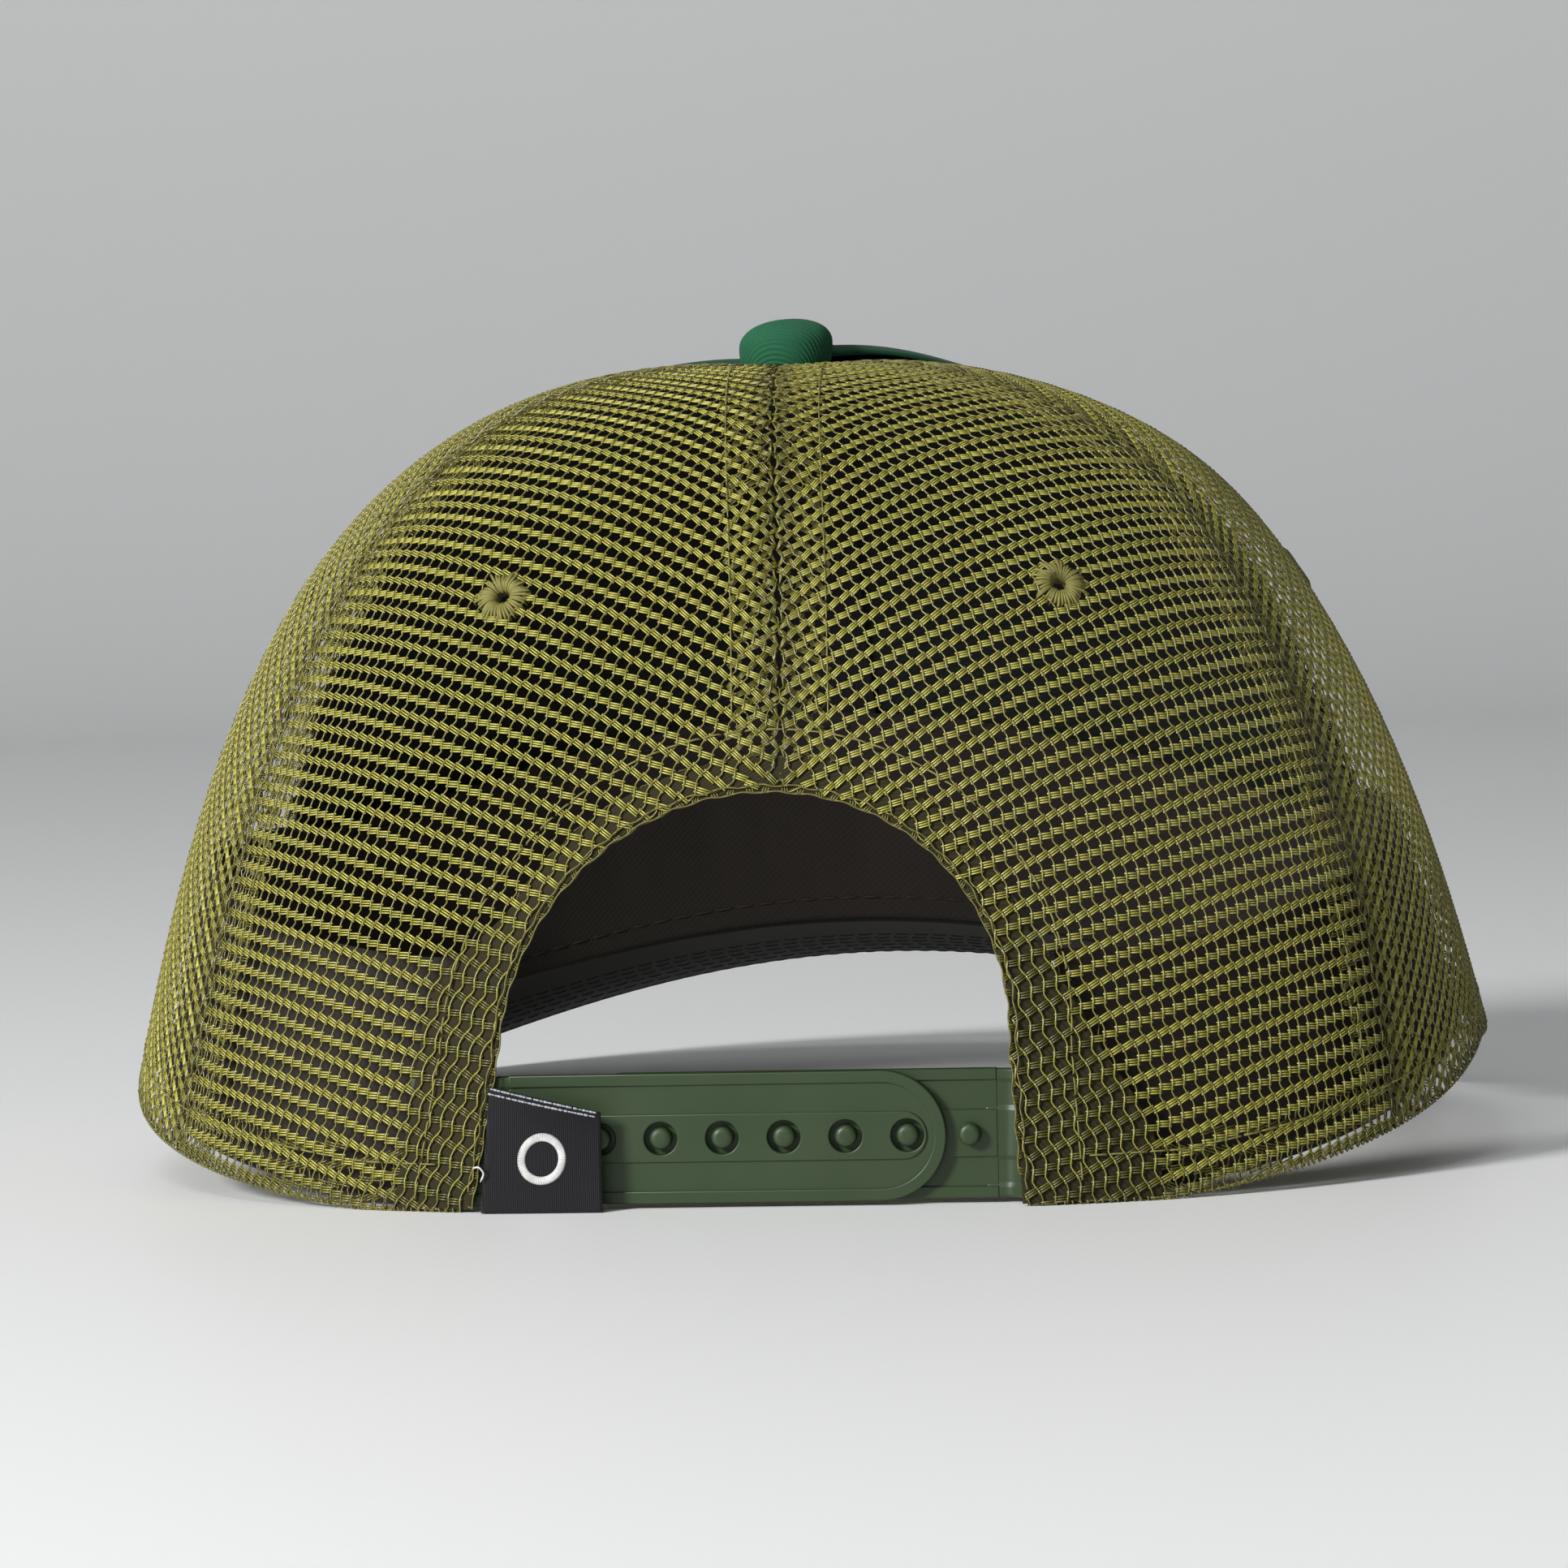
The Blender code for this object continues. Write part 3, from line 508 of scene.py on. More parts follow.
def crown_line(phi, t, height=0.0):
    """A path on the crown and its outward directions."""
    phi, t = np.broadcast_arrays(np.asarray(phi, float), np.asarray(t, float))
    return on_crown(phi, t, np.full(phi.shape, height)), normals(phi, t)


def seam_line(phi_degrees, offset, low=0.03, reach_end=9 * MM, height=0.0):
    """A line beside a seam, at a distance across it, from the hem to near the top."""
    phi = math.radians(phi_degrees)
    t = np.linspace(low, float(t_at_reach(phi, reach_end)), 260)
    return crown_line(phi + offset / reach_at(np.full_like(t, phi), t), t, height)


def finish_piece(obj, body="crown", nodes=()):
    if body:
        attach(obj, body)
    if nodes:
        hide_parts(*nodes)
    return obj


# ---------------------------------------------------------------- materials


def new_material(name, colour, roughness, **more):
    mat = bpy.data.materials.new(name)
    mat.use_nodes = True
    shader = mat.node_tree.nodes["Principled BSDF"]
    shader.inputs["Base Color"].default_value = (*colour, 1)
    shader.inputs["Roughness"].default_value = roughness
    for key, value in more.items():
        shader.inputs[key.replace("_", " ")].default_value = value
    return mat, mat.node_tree, shader


def make_node(tree, kind, inputs=(), **settings):
    made = tree.nodes.new(kind)
    for key, value in settings.items():
        setattr(made, key, value)
    for key, value in dict(inputs).items():
        if isinstance(value, bpy.types.NodeSocket):
            tree.links.new(value, made.inputs[key])
        else:
            made.inputs[key].default_value = value
    return made


def mix_colour(tree, factor, first, second):
    mixer = tree.nodes.new("ShaderNodeMix")
    mixer.data_type = "RGBA"
    for socket, value in ((0, factor), (6, first), (7, second)):
        if isinstance(value, bpy.types.NodeSocket):
            tree.links.new(value, mixer.inputs[socket])
        elif socket == 0:
            mixer.inputs[0].default_value = value
        else:
            mixer.inputs[socket].default_value = (*value, 1)
    return mixer.outputs[2]


def noise(tree, scale, detail=3.0):
    source = tree.nodes.new("ShaderNodeTexCoord").outputs["Object"]
    made = make_node(tree, "ShaderNodeTexNoise", {"Scale": scale, "Detail": detail, "Vector": source})
    return made.outputs["Fac"]


def ramp(tree, factor, low, high, to_low=0.0, to_high=1.0):
    values = {"Value": factor, "From Min": low, "From Max": high, "To Min": to_low, "To Max": to_high}
    return make_node(tree, "ShaderNodeMapRange", values).outputs["Result"]


def bump(tree, shader, height, strength, distance):
    made = make_node(tree, "ShaderNodeBump", {"Strength": strength, "Distance": distance, "Height": height})
    tree.links.new(made.outputs["Normal"], shader.inputs["Normal"])


def attribute(tree, name, output="Fac"):
    return make_node(tree, "ShaderNodeAttribute", attribute_name=name).outputs[output]


def yarn_material(name, colour, other, painted_shade_colour, roughness, specular):
    """Mesh yarn: kind 0 and 1 are strands and chain, hem is 1 where the cloth is doubled and slack, and mixes
    in painted shade there: a darker olive in place of the highlights the yarn loses.
    """
    mat, tree, shader = new_material(name, colour, roughness, Specular_IOR_Level=specular)
    base = mix_colour(tree, attribute(tree, "kind"), colour, other)
    # painted shade: the hem attribute turns the yarn towards the shaded olive
    base = mix_colour(tree, attribute(tree, "hem"), base, painted_shade_colour)
    patch = ramp(tree, noise(tree, 260), 0.35, 0.7, 0.0, 0.45)
    worn = mix_colour(tree, patch, base, [c * 0.55 for c in colour])
    tree.links.new(worn, shader.inputs["Base Color"])
    return mat


def cloth_material(name, colour, pitch, strength, roughness=0.85, turn=58, dark=0.6):
    """Twill: slanting ribs of one pitch on the cloth's own coordinates."""
    mat, tree, shader = new_material(name, colour, roughness, Specular_IOR_Level=0.25, Sheen_Weight=0.06)
    cloth = attribute(tree, "cloth", "Vector")
    turned = make_node(tree, "ShaderNodeMapping", {"Vector": cloth, "Rotation": (0, 0, math.radians(turn))})
    uneven = make_node(tree, "ShaderNodeTexNoise", {"Vector": cloth, "Scale": 900.0, "Detail": 2.0})
    wave = {"Vector": turned.outputs["Vector"], "Scale": 0.314 / pitch, "Distortion": 0.6, "Detail": 1.0}
    ribs = make_node(tree, "ShaderNodeTexWave", wave).outputs["Fac"]
    both = {0: ribs, 1: uneven.outputs["Fac"]}
    height = make_node(tree, "ShaderNodeMath", both, operation="ADD").outputs[0]
    bump(tree, shader, height, strength, 0.08 * MM)
    shade = mix_colour(tree, ramp(tree, ribs, 0.0, 0.9), [c * dark for c in colour], colour)
    fade = ramp(tree, noise(tree, 55, 4.0), 0.3, 0.75, 0.0, 0.35)
    tree.links.new(mix_colour(tree, fade, shade, [c * 0.72 for c in colour]), shader.inputs["Base Color"])
    return mat


def thread_material(name, colour, roughness=0.6):
    mat, tree, shader = new_material(name, colour, roughness, Specular_IOR_Level=0.4)
    bump(tree, shader, noise(tree, 5200, 2.0), 0.5, 0.05 * MM)
    patch = ramp(tree, noise(tree, 700), 0.35, 0.7)
    tree.links.new(mix_colour(tree, patch, colour, [c * 0.7 for c in colour]), shader.inputs["Base Color"])
    return mat


def moulded_material(name, colour, roughness, grain):
    mat, tree, shader = new_material(name, colour, roughness, Specular_IOR_Level=0.45)
    bump(tree, shader, noise(tree, grain, 5.0), 0.25, 0.04 * MM)
    rough = ramp(tree, noise(tree, 90, 4.0), 0.3, 0.7, roughness - 0.06, roughness + 0.1)
    tree.links.new(rough, shader.inputs["Roughness"])
    cast = ramp(tree, noise(tree, 60, 3.0), 0.3, 0.75, 0.0, 0.5)
    tree.links.new(mix_colour(tree, cast, colour, [c * 0.86 for c in colour]), shader.inputs["Base Color"])
    return mat


# ---------------------------------------------------------------- knitted gores


def wobble(p, w, seed):
    """Small unevenness of the knit: a few long waves."""
    a = np.sin(p / (9.1 * MM) + w / (13.7 * MM) + seed)
    a = a + 0.6 * np.sin(p / (4.3 * MM) - w / (6.1 * MM) + 2 * seed)
    b = np.sin(w / (8.3 * MM) - p / (11.9 * MM) + 3 * seed)
    b = b + 0.6 * np.sin(w / (3.7 * MM) + p / (5.3 * MM) + seed)
    return p + a * 0.09 * MM, w + b * 0.09 * MM


def strand_units(columns, rows):
    """Mid-points, turns and kinds of the laid-in strands: three to each row, in two kinds of row."""
    found = []
    for turn, drop, side in ((ROW_A_TURN, 0.0, 0.0), (ROW_B_TURN, REPEAT / 2, -0.08 * MM)):
        for place in (-1, 0, 1):
            p = (columns + 0.5) * WALE + side
            found.append((p, rows * REPEAT - drop + place * STRAND_STEP, np.full(p.shape, turn)))
    return [np.concatenate(part) for part in zip(*found)]


def strand_paths(p, w, turn):
    along = np.array([-0.54, 0.54]) * WALE
    ps = p[:, None] + along * np.cos(turn)[:, None]
    ws = w[:, None] - along * np.sin(turn)[:, None]
    return ps, ws, np.zeros(ps.shape)


def chain_paths(p, w):
    """A chain yarn over one repeat: it sways over the rows and lies over each of them."""
    down = np.array([0, 0.14, 0.26, 0.37, 0.5, 0.63, 0.74, 0.86, 1]) * REPEAT
    side = np.array([0, -0.20, -0.30, -0.22, 0.09, 0.38, 0.42, 0.27, 0]) * MM
    fine = np.linspace(0, REPEAT, 8)
    sway = np.interp(fine, down, side)
    over = np.cos(fine / REPEAT * 2 * math.tau) * 0.5 + 0.5
    lift = (-0.08 + 0.28 * over) * MM
    radii = WALE_THIN + (WALE_THICK - WALE_THIN) * over**1.5
    shape = (len(p), len(fine))
    return p[:, None] - sway, w[:, None] - fine, np.broadcast_to(lift, shape), np.broadcast_to(radii, shape)


def join(objects, name):
    with bpy.context.temp_override(active_object=objects[0], selected_editable_objects=objects):
        bpy.ops.object.join()
    objects[0].name = name
    objects[0].data.name = name
    return objects[0]


def mesh_gore(gore, place, side, yarn):
    """The strands and the chain yarns of one knitted gore, as one piece."""
    seed = gore.centre * 2.3
    tilt = math.cos(ROW_TILT), math.sin(ROW_TILT)
    columns, rows = np.meshgrid(np.arange(-60, 60), np.arange(-11, 44), indexing="ij")
    columns, rows = columns.ravel(), rows.ravel()
    made = []
    for kind in (0.0, 1.0):
        if kind:
            ps, ws, lift, radii = chain_paths(columns * WALE, rows * REPEAT)
        else:
            ps, ws, lift = strand_paths(*strand_units(columns, rows))
            radii = np.full(ps.shape, STRAND_RADIUS)
        ps, ws = wobble(ps, ws, seed)
        u, v = (ps * tilt[0] - ws * tilt[1]) * gore.side, ps * tilt[1] + ws * tilt[0]
        near = (np.abs(u[:, 0]) < 64 * MM) & (v[:, 0] > -14 * MM) & (v[:, 0] < 160 * MM)
        u, v, lift, radii = u[near], v[near], lift[near], radii[near]
        points, allowed, past = gore.lay(u, v, lift)
        kept = allowed[:, 0] & allowed[:, -1] & ~in_eyelet(points.mean(1))
        centred = points - np.array([0, CAP_SHIFT_Y, 0])
        arch = arch_depth(centred[..., 0], centred[..., 2])
        if place == "back":
            kept &= (arch < -0.1 * MM).all(1) | (centred[:, 0, 1] < 0)
        width = hem_width(centred[..., 0], centred[..., 2])
        # painted shade and highlight on the back gores' doubled strip beside the opening, below about 42 mm
        strip_shade = smooth(-width - 1 * MM, 1 * MM - width, arch) * smooth(42 * MM, 32 * MM, centred[..., 2])
        strip_shade = strip_shade if place == "back" else np.zeros_like(strip_shade)
        # painted shade: strands in the strip, and all yarn within 4 mm of a folded seam or hem, turn darker
        painted_shade = np.maximum(strip_shade * (1 - kind), 0.75 * smooth(-4 * MM, -1 * MM, past))
        uv = np.stack([u / (140 * MM) + 0.5, (v - gore.v_low) / (185 * MM)], -1)
        # painted highlight: chains in the strip move 30% towards the lighter strand colour
        kinds = kind * (1 - 0.3 * strip_shade)
        args = (points[kept], radii[kept], yarn, uv[kept], painted_shade[kept], kinds[kept])
        made.append(tubes(f"{place}_{side}_{int(kind)}", *args))
    knit = join(made, f"{place}_knit_{side}")
    finish_piece(knit, "crown", [f"{place}_mesh_{side}"])


def in_eyelet(points):
    inside = np.zeros(len(points), bool)
    for place in EYELET_PLACES:
        inside |= np.linalg.norm(points - place, axis=1) < EYELET_RADIUS - 0.5 * MM
    return inside


def hem_width(x, z):
    """How wide the doubled hem beside the opening is: even on the wearer's left, tapered on the right."""
    right = BINDING_RIGHT + (7 * MM - BINDING_RIGHT) * smooth(5 * MM, 34 * MM, z)
    return np.where(x > 0, BINDING_LEFT, right)


def binding_width(s):
    """How far the hem's folded cloth reaches from the opening's edge, along the edge."""
    left = BINDING_LEFT + (BINDING_TOP - BINDING_LEFT) * smooth(24 * MM, 40 * MM, s)
    right = BINDING_RIGHT + (BINDING_TOP - BINDING_RIGHT) * smooth(4 * MM, 38 * MM, ARCH.length - s)
    return np.where(s < ARCH.length / 2, left, right)


def opening_binding(strip, yarn, backing):
    """The doubled hem round the opening: knitted cloth wrapped round the edge, with its wales along it."""
    columns = np.arange(-2, 24) / 2
    rows = np.arange(0, int(strip.length / REPEAT) + 1)
    columns, rows = [grid.ravel() for grid in np.meshgrid(columns, rows, indexing="ij")]
    made = []
    for kind in (0.0, 1.0):
        if kind:
            q, s, lift, radii = chain_paths(columns * WALE, (rows + columns % 1) * REPEAT + REPEAT)
            q = columns[:, None] * WALE + 0.5 * (q - columns[:, None] * WALE)
        else:
            whole = columns % 1 == 0
            q, s, lift = strand_paths(*strand_units(columns[whole], rows[whole]))
            radii = np.full(q.shape, STRAND_RADIUS)
        q, s = wobble(q, s, 0.7)
        kept = (q.min(1) > -BINDING_WRAP - 0.3 * MM) & (q.max(1) < binding_width(s.mean(1)) + 1 * MM)
        kept &= (s.min(1) > 0) & (s.max(1) < strip.length)
        points = strip.wrap(s[kept], q[kept], lift[kept])
        # painted shade: yarn more than 0.9 mm inside the fold mixes 80% into the shaded olive, chains
        # elsewhere 15%
        painted_shade = np.where(q[kept] > 0.9 * MM, 0.8, 0.15 if kind else 0.0)
        uv = np.stack([q[kept] / (30 * MM) + 0.2, s[kept] / (160 * MM)], -1)
        kinds = np.full(painted_shade.shape, kind)
        made.append(tubes(f"binding_{int(kind)}", points, radii[kept], yarn, uv, painted_shade, kinds))
    binding = join(made, "opening_binding")
    finish_piece(binding, "crown", ["opening_facing"])
    s = strip.length * shares(strip.length, 170, 0.3 * MM)
    width = binding_width(s)
    # the outer ply only, because the inner ply is a piece of its own
    reach = width - INNER_PLY_INSET
    q = INNER_PLY_INSET + reach[None, :] * shares(8 * MM, 12, 0.3 * MM)[:, None]
    middle = strip.place(np.broadcast_to(s, q.shape), q, np.full(q.shape, -INNER_PLY_DEPTH))
    ply = shell("opening_inner_ply", middle, INNER_PLY, backing, edge=0.2 * MM)
    finish_piece(ply)


def hem_cord(yarn):
    """The beaded edge that the folded hem shows: short loops round the fold, all round the mesh."""
    found = []
    for start, end in ((27.5, 119.5), (-119.5, -25.5)):
        phi = np.radians(np.linspace(start, end, 3000))
        path = on_crown(phi, np.full_like(phi, 0.001), np.full_like(phi, -0.1 * MM))
        steps = np.concatenate([[0], np.cumsum(np.linalg.norm(np.diff(path, axis=0), axis=1))])
        places = np.arange(0.6 * MM, steps[-1] - 1 * MM, 1.05 * MM)
        places = places + RANDOM.normal(0, 0.09 * MM, len(places))
        at = np.interp(places, steps, phi)
        across = np.array([-0.32, -0.16, 0.0, 0.16, 0.32]) * MM
        turn = np.array([-1.9, -0.95, 0.0, 0.95, 1.9])
        reach = reach_at(at, np.zeros_like(at))
        phis = at[:, None] + across / reach[:, None]
        heights = -0.42 * MM + 0.50 * MM * np.sin(turn + 0.15)
        low = 0.42 * MM * np.cos(turn)
        ts = np.broadcast_to((0.30 * MM - low) / HEM_SPEED, phis.shape)
        found.append(on_crown(phis, ts, np.broadcast_to(heights, phis.shape)))
    paths = np.concatenate(found)
    loops = tubes("hem_edge_loops", paths, 0.13 * MM, yarn)
    finish_piece(loops)


# ---------------------------------------------------------------- embroidery and stitches


def eyelet_place(gore):
    place, side = gore.split("_")
    phi = math.radians(EYELET_AZIMUTHS[place]) * (1 if side == "left" else -1)
    t = t_at_z(phi, EYELET_Z)
    return on_crown(phi, t, -0.4 * MM), normals(phi, t)


def eyelet(name, centre, up, material):
    """A buttonhole-stitched ring: close thread loops from the bore to the outside, slightly uneven."""
    first = unit(np.cross(up, [0, 0, 1.0]))
    second = np.cross(up, first)
    count = 40
    angle = np.arange(count) * math.tau / count + RANDOM.normal(0, 0.025, count)
    outer = EYELET_RADIUS + RANDOM.normal(0, 0.3 * MM, count)
    bore = EYELET_BORE + RANDOM.normal(0, 0.06 * MM, count)
    middle = (bore + outer) / 2 + 0.3 * MM
    reach = np.stack([bore, bore + 0.12 * MM, bore + 0.8 * MM, middle, outer, outer], 1)
    reach[:, 4] -= 0.15 * MM
    heights = np.array([-0.9, 0.3, 0.85, 0.8, 0.42, -0.45]) * MM
    skew = np.array([0, 0, 0.015, 0.03, 0.05, 0.05])
    angles = angle[:, None] + skew
    flat = np.cos(angles)[..., None] * first + np.sin(angles)[..., None] * second
    paths = centre + flat * reach[..., None] + up * heights[:, None]
    radii = np.broadcast_to(np.array([0.09, 0.12, 0.18, 0.22, 0.20, 0.12]) * MM, paths.shape[:2])
    ring = tubes("eyelet_ring_" + name, paths, radii, material, sides=6)
    finish_piece(ring, "crown", ["eyelet_" + name])


def seam_stitches(olive, green):
    lines = [seam_line(0, side * 6.5 * MM, low=0.42, height=0.1 * MM) for side in (-1, 1)]
    for degrees in (60, -60):
        lines += [seam_line(degrees, side * 6.2 * MM, height=0.1 * MM) for side in (-1, 1)]
    lines += [seam_line(120, -3 * MM, height=0.1 * MM), seam_line(-120, 3 * MM, height=0.1 * MM)]
    stitches("mesh_seam_stitches", *zip(*lines), olive, "olive_thread", radius=0.12 * MM)
    strip_s = np.linspace(1 * MM, ARCH.length - 1 * MM, 400)
    q = np.full_like(strip_s, 8.3 * MM)
    phi, t = ARCH.look_up(ARCH.phi, strip_s, q), ARCH.look_up(ARCH.t, strip_s, q)
    lines = [crown_line(phi, t, 0.1 * MM)]
    for start, end in ((30, 113), (-113, -28)):
        phi = np.radians(np.linspace(start, end, 400))
        lines.append(crown_line(phi, 6.2 * MM / HEM_SPEED, 0.1 * MM))
    stitches("hem_stitches", *zip(*lines), olive, "olive_thread", radius=0.12 * MM)
    lines = [seam_line(180, side * 3 * MM, low=0.01) for side in (-1, 1)]
    lines += [seam_line(120, 3 * MM, low=0.01), seam_line(-120, -3 * MM, low=0.01)]
    stitches("front_seam_stitches", *zip(*lines), green, "green_thread", radius=0.14 * MM)


# ---------------------------------------------------------------- woven cloth pieces


def seam_groove(edges):
    """A height map that dips at the seams named by their azimuths in degrees."""

    def at(phi, t):
        reach = reach_at(phi, t)
        away = np.min([np.abs(phi - math.radians(e)) for e in edges], axis=0) * reach
        dip = -0.45 * MM * np.exp(-((away / (1.3 * MM)) ** 2))
        swell = 0.22 * MM * np.exp(-(((away - 3.2 * MM) / (2.6 * MM)) ** 2))
        return dip + swell

    return at


def cut_bores(obj, places):
    """Real bores through a twill panel, under the eyelets."""
    for centre, up in places:
        bpy.ops.mesh.primitive_cylinder_add(vertices=20, radius=EYELET_BORE + 0.25 * MM, depth=6 * MM)
        cutter = bpy.context.active_object
        turn = Vector(up).to_track_quat("Z", "Y").to_matrix().to_4x4()
        cutter.matrix_world = Matrix.Translation(Vector(centre)) @ turn
        boolean = obj.modifiers.new("bore", "BOOLEAN")
        boolean.operation = "DIFFERENCE"
        boolean.object = cutter
        boolean.solver = "EXACT"
        graph = bpy.context.evaluated_depsgraph_get()
        bored = obj.evaluated_get(graph)
        mesh = bpy.data.meshes.new_from_object(bored, preserve_all_data_layers=True, depsgraph=graph)
        obj.modifiers.clear()
        obj.data = mesh
        bpy.data.objects.remove(cutter)


def front_pieces(twill, buckram, tape):
    gap = 0.12 * MM
    for side, sign, start in (("left", 1, 120), ("right", -1, -180)):
        edges = (120, 180) if sign > 0 else (-180, -120)
        low = math.radians(start) + gap / (60 * MM)
        high = math.radians(start + 60) - gap / (60 * MM)

        def span(phi):
            return np.full(phi.shape, 0.002), t_at_reach(phi, 3.2 * MM)

        name = f"front_twill_{side}"
        size = (86 * MM, 142 * MM)
        lift = FRONT_LIFT[side]
        groove = seam_groove(edges)

        def stand(phi, t, lift=lift, groove=groove):
            return groove(phi, t) + lift * smooth(36 * MM, 10 * MM, reach_at(phi, t))

        counts = (66, 96)
        panel = crown_piece(name, (low, high), span, 0, PANEL, twill, size, counts, bump=stand, edge=0.5 * MM)
        cut_bores(panel, [eyelet_place(f"front_{side}")])
        finish_piece(panel, "crown", [f"front_panel_{side}"])

    def lining_span(phi):
        return np.full(phi.shape, 0.01), t_at_reach(phi, 11 * MM)

    stretch = (math.radians(122), math.radians(238))
    size, counts, name = (168 * MM, 130 * MM), (90, 70), "front_buckram_cloth"
    lining = crown_piece(
        name, stretch, lining_span, LINING_DEPTH, LINING, buckram, size, counts, edge=0.3 * MM
    )
    finish_piece(lining, "crown", ["front_buckram"])

    for name, degrees in (("centre_front", 180), ("side_front_left", 120), ("side_front_right", -120)):
        phi0 = math.radians(degrees)
        last = float(t_at_reach(phi0, 14 * MM))
        a = shares(TAPE_WIDTH, 8, 0.3 * MM) - 0.5
        t = TAPE_FOOT + (last - TAPE_FOOT) * shares(120 * MM, 90, 0.3 * MM)
        reach = reach_at(np.full_like(t, phi0), t)
        phi = phi0 + a[None, :] * TAPE_WIDTH / reach[:, None]
        t = np.broadcast_to(t[:, None], phi.shape)
        ridge = -0.35 * MM * np.exp(-((a[None, :] * TAPE_WIDTH / (2.2 * MM)) ** 2))
        middle = on_crown(phi, t, -TAPE_DEPTH - TAPE / 2 + ridge)
        piece = shell(name + "_binding", middle, TAPE, tape, edge=0.25 * MM)
        node = name.replace("centre_front", "centre_front_tape").replace("side_front_", "side_front_tape_")
        finish_piece(piece, "crown", [node])


def sweatband_piece(cloth, thread):
    def span(phi):
        folded = np.remainder(phi + math.pi, math.tau) - math.pi
        radius = rim_radius(folded)
        on_visor = visor_z(radius * np.sin(folded), radius * np.cos(folded)) + 1.3 * MM
        share = smooth(math.radians(106), math.radians(117), np.abs(folded))
        low = rim_z(folded) + BAND_LIFT
        low = low + (np.maximum(on_visor, 0) - low) * share
        return t_at_z(folded, low), t_at_z(folded, low + BAND_HEIGHT)

    def soft(phi, t):
        wave = np.sin(phi * 23 + 1.3) + 0.6 * np.sin(phi * 41 + 0.4) + 0.4 * np.sin(phi * 67)
        low, high = span(phi[0])
        up = (t - low) / (high - low)
        return -0.18 * MM * wave * np.sin(math.pi * np.clip(up, 0, 1)) * 0.8

    stretch = (BAND_START, math.tau - BAND_START)
    size, counts, name = (470 * MM, BAND_HEIGHT), (420, 22), "sweatband_cloth"
    band = crown_piece(
        name, stretch, span, BAND_DEPTH, BAND, cloth, size, counts, bump=soft, edge=0.7 * MM
    )
    finish_piece(band, "crown", ["sweatband"])
    phi = np.linspace(BAND_START + 0.02, math.tau - BAND_START - 0.02, 1400)
    low, high = span(phi)
    lines = []
    for share in (0.94, 0.1):
        t = low + (high - low) * share
        out = -normals(phi, t)
        lines.append((on_crown(phi, t, np.full_like(phi, -BAND_DEPTH - BAND)), out))
    thread_size = {"length": 2.6 * MM, "gap": 0.7 * MM, "radius": 0.14 * MM}
    stitches("sweatband_stitches", *zip(*lines), thread, "sweatband", **thread_size)


def visor_grid(rows, share, lift_at):
    """Points over the visor: rows runs from its sewn edge (0) to its free edge (1)."""
    angle = (share - 0.5) * 2 * VISOR_TURN
    s, c = np.sin(angle), np.cos(angle)
    power = np.where(c > 0, 2 / VISOR_POWER, 1.0)
    x1 = VISOR_HALF_WIDTH * np.sign(s) * np.abs(s) ** power
    y1 = VISOR_CENTRE_Y - VISOR_REACH * np.sign(c) * np.abs(c) ** power
    phi = math.pi + (math.pi - VISOR_END) * (1 - 2 * share)
    point = surface(phi, 0.0)
    scale = 1 - (BAND_DEPTH - 0.3 * MM) / np.hypot(point[..., 0], point[..., 1])
    x0, y0 = point[..., 0] * scale, point[..., 1] * scale
    rows = np.asarray(rows)[:, None]
    x, y = x0 + (x1 - x0) * rows, y0 + (y1 - y0) * rows
    return np.stack([x, y + CAP_SHIFT_Y, visor_z(x, y) + lift_at(rows)], -1)


def visor_pieces(twill, under, green, under_thread):
    across = 0.012 + 0.976 * shares(250 * MM, 150, 0.6 * MM)
    first, last = [0, 0.004, 0.012, 0.03, 0.06], [0.96, 0.975, 0.987, 0.995, 1.0]
    rows = np.concatenate([first, np.linspace(0.09, 0.94, 30), last])

    def low_lift(r):
        rise = 3.4 * MM * (1 - np.clip(r / 0.012, 0, 1)) ** 1.5
        return COVER / 2 + rise + 0.55 * MM * smooth(0.985, 1.0, r)

    def high_lift(r):
        return VISOR_STACK - COVER / 2 - 1.75 * MM * smooth(0.955, 1.0, r)

    # the under cloth faces down, so its rows run the other way
    bottom = shell("visor_under_cloth", visor_grid(rows, across, low_lift)[::-1], COVER, under, edge=0.5 * MM)
    finish_piece(bottom, "crown", ["visor_bottom_cover"])
    top = shell("visor_top_cloth", visor_grid(rows, across, high_lift), COVER, twill, edge=0.5 * MM)
    finish_piece(top, "crown", ["visor_top_cover"])
    for name, lift, up, material, slot in (
        ("visor_top_stitches", high_lift, 1, green, "green_thread"),
        ("visor_under_stitches", low_lift, -1, under_thread, "under_cloth"),
    ):
        lines = []
        for row in (0.95, 0.84, 0.73, 0.62, 0.51, 0.40):
            inset = 0.03 + 0.03 * (0.95 - row)
            share = np.linspace(inset, 1 - inset, 700)
            path = visor_grid(np.array([row]), share, lift)[0]
            path[:, 2] += up * COVER / 2
            lines.append((path, np.tile([0, 0, float(up)], (len(path), 1))))
        stitches(name, *zip(*lines), material, slot, length=2.5 * MM, gap=0.5 * MM, radius=0.10 * MM)


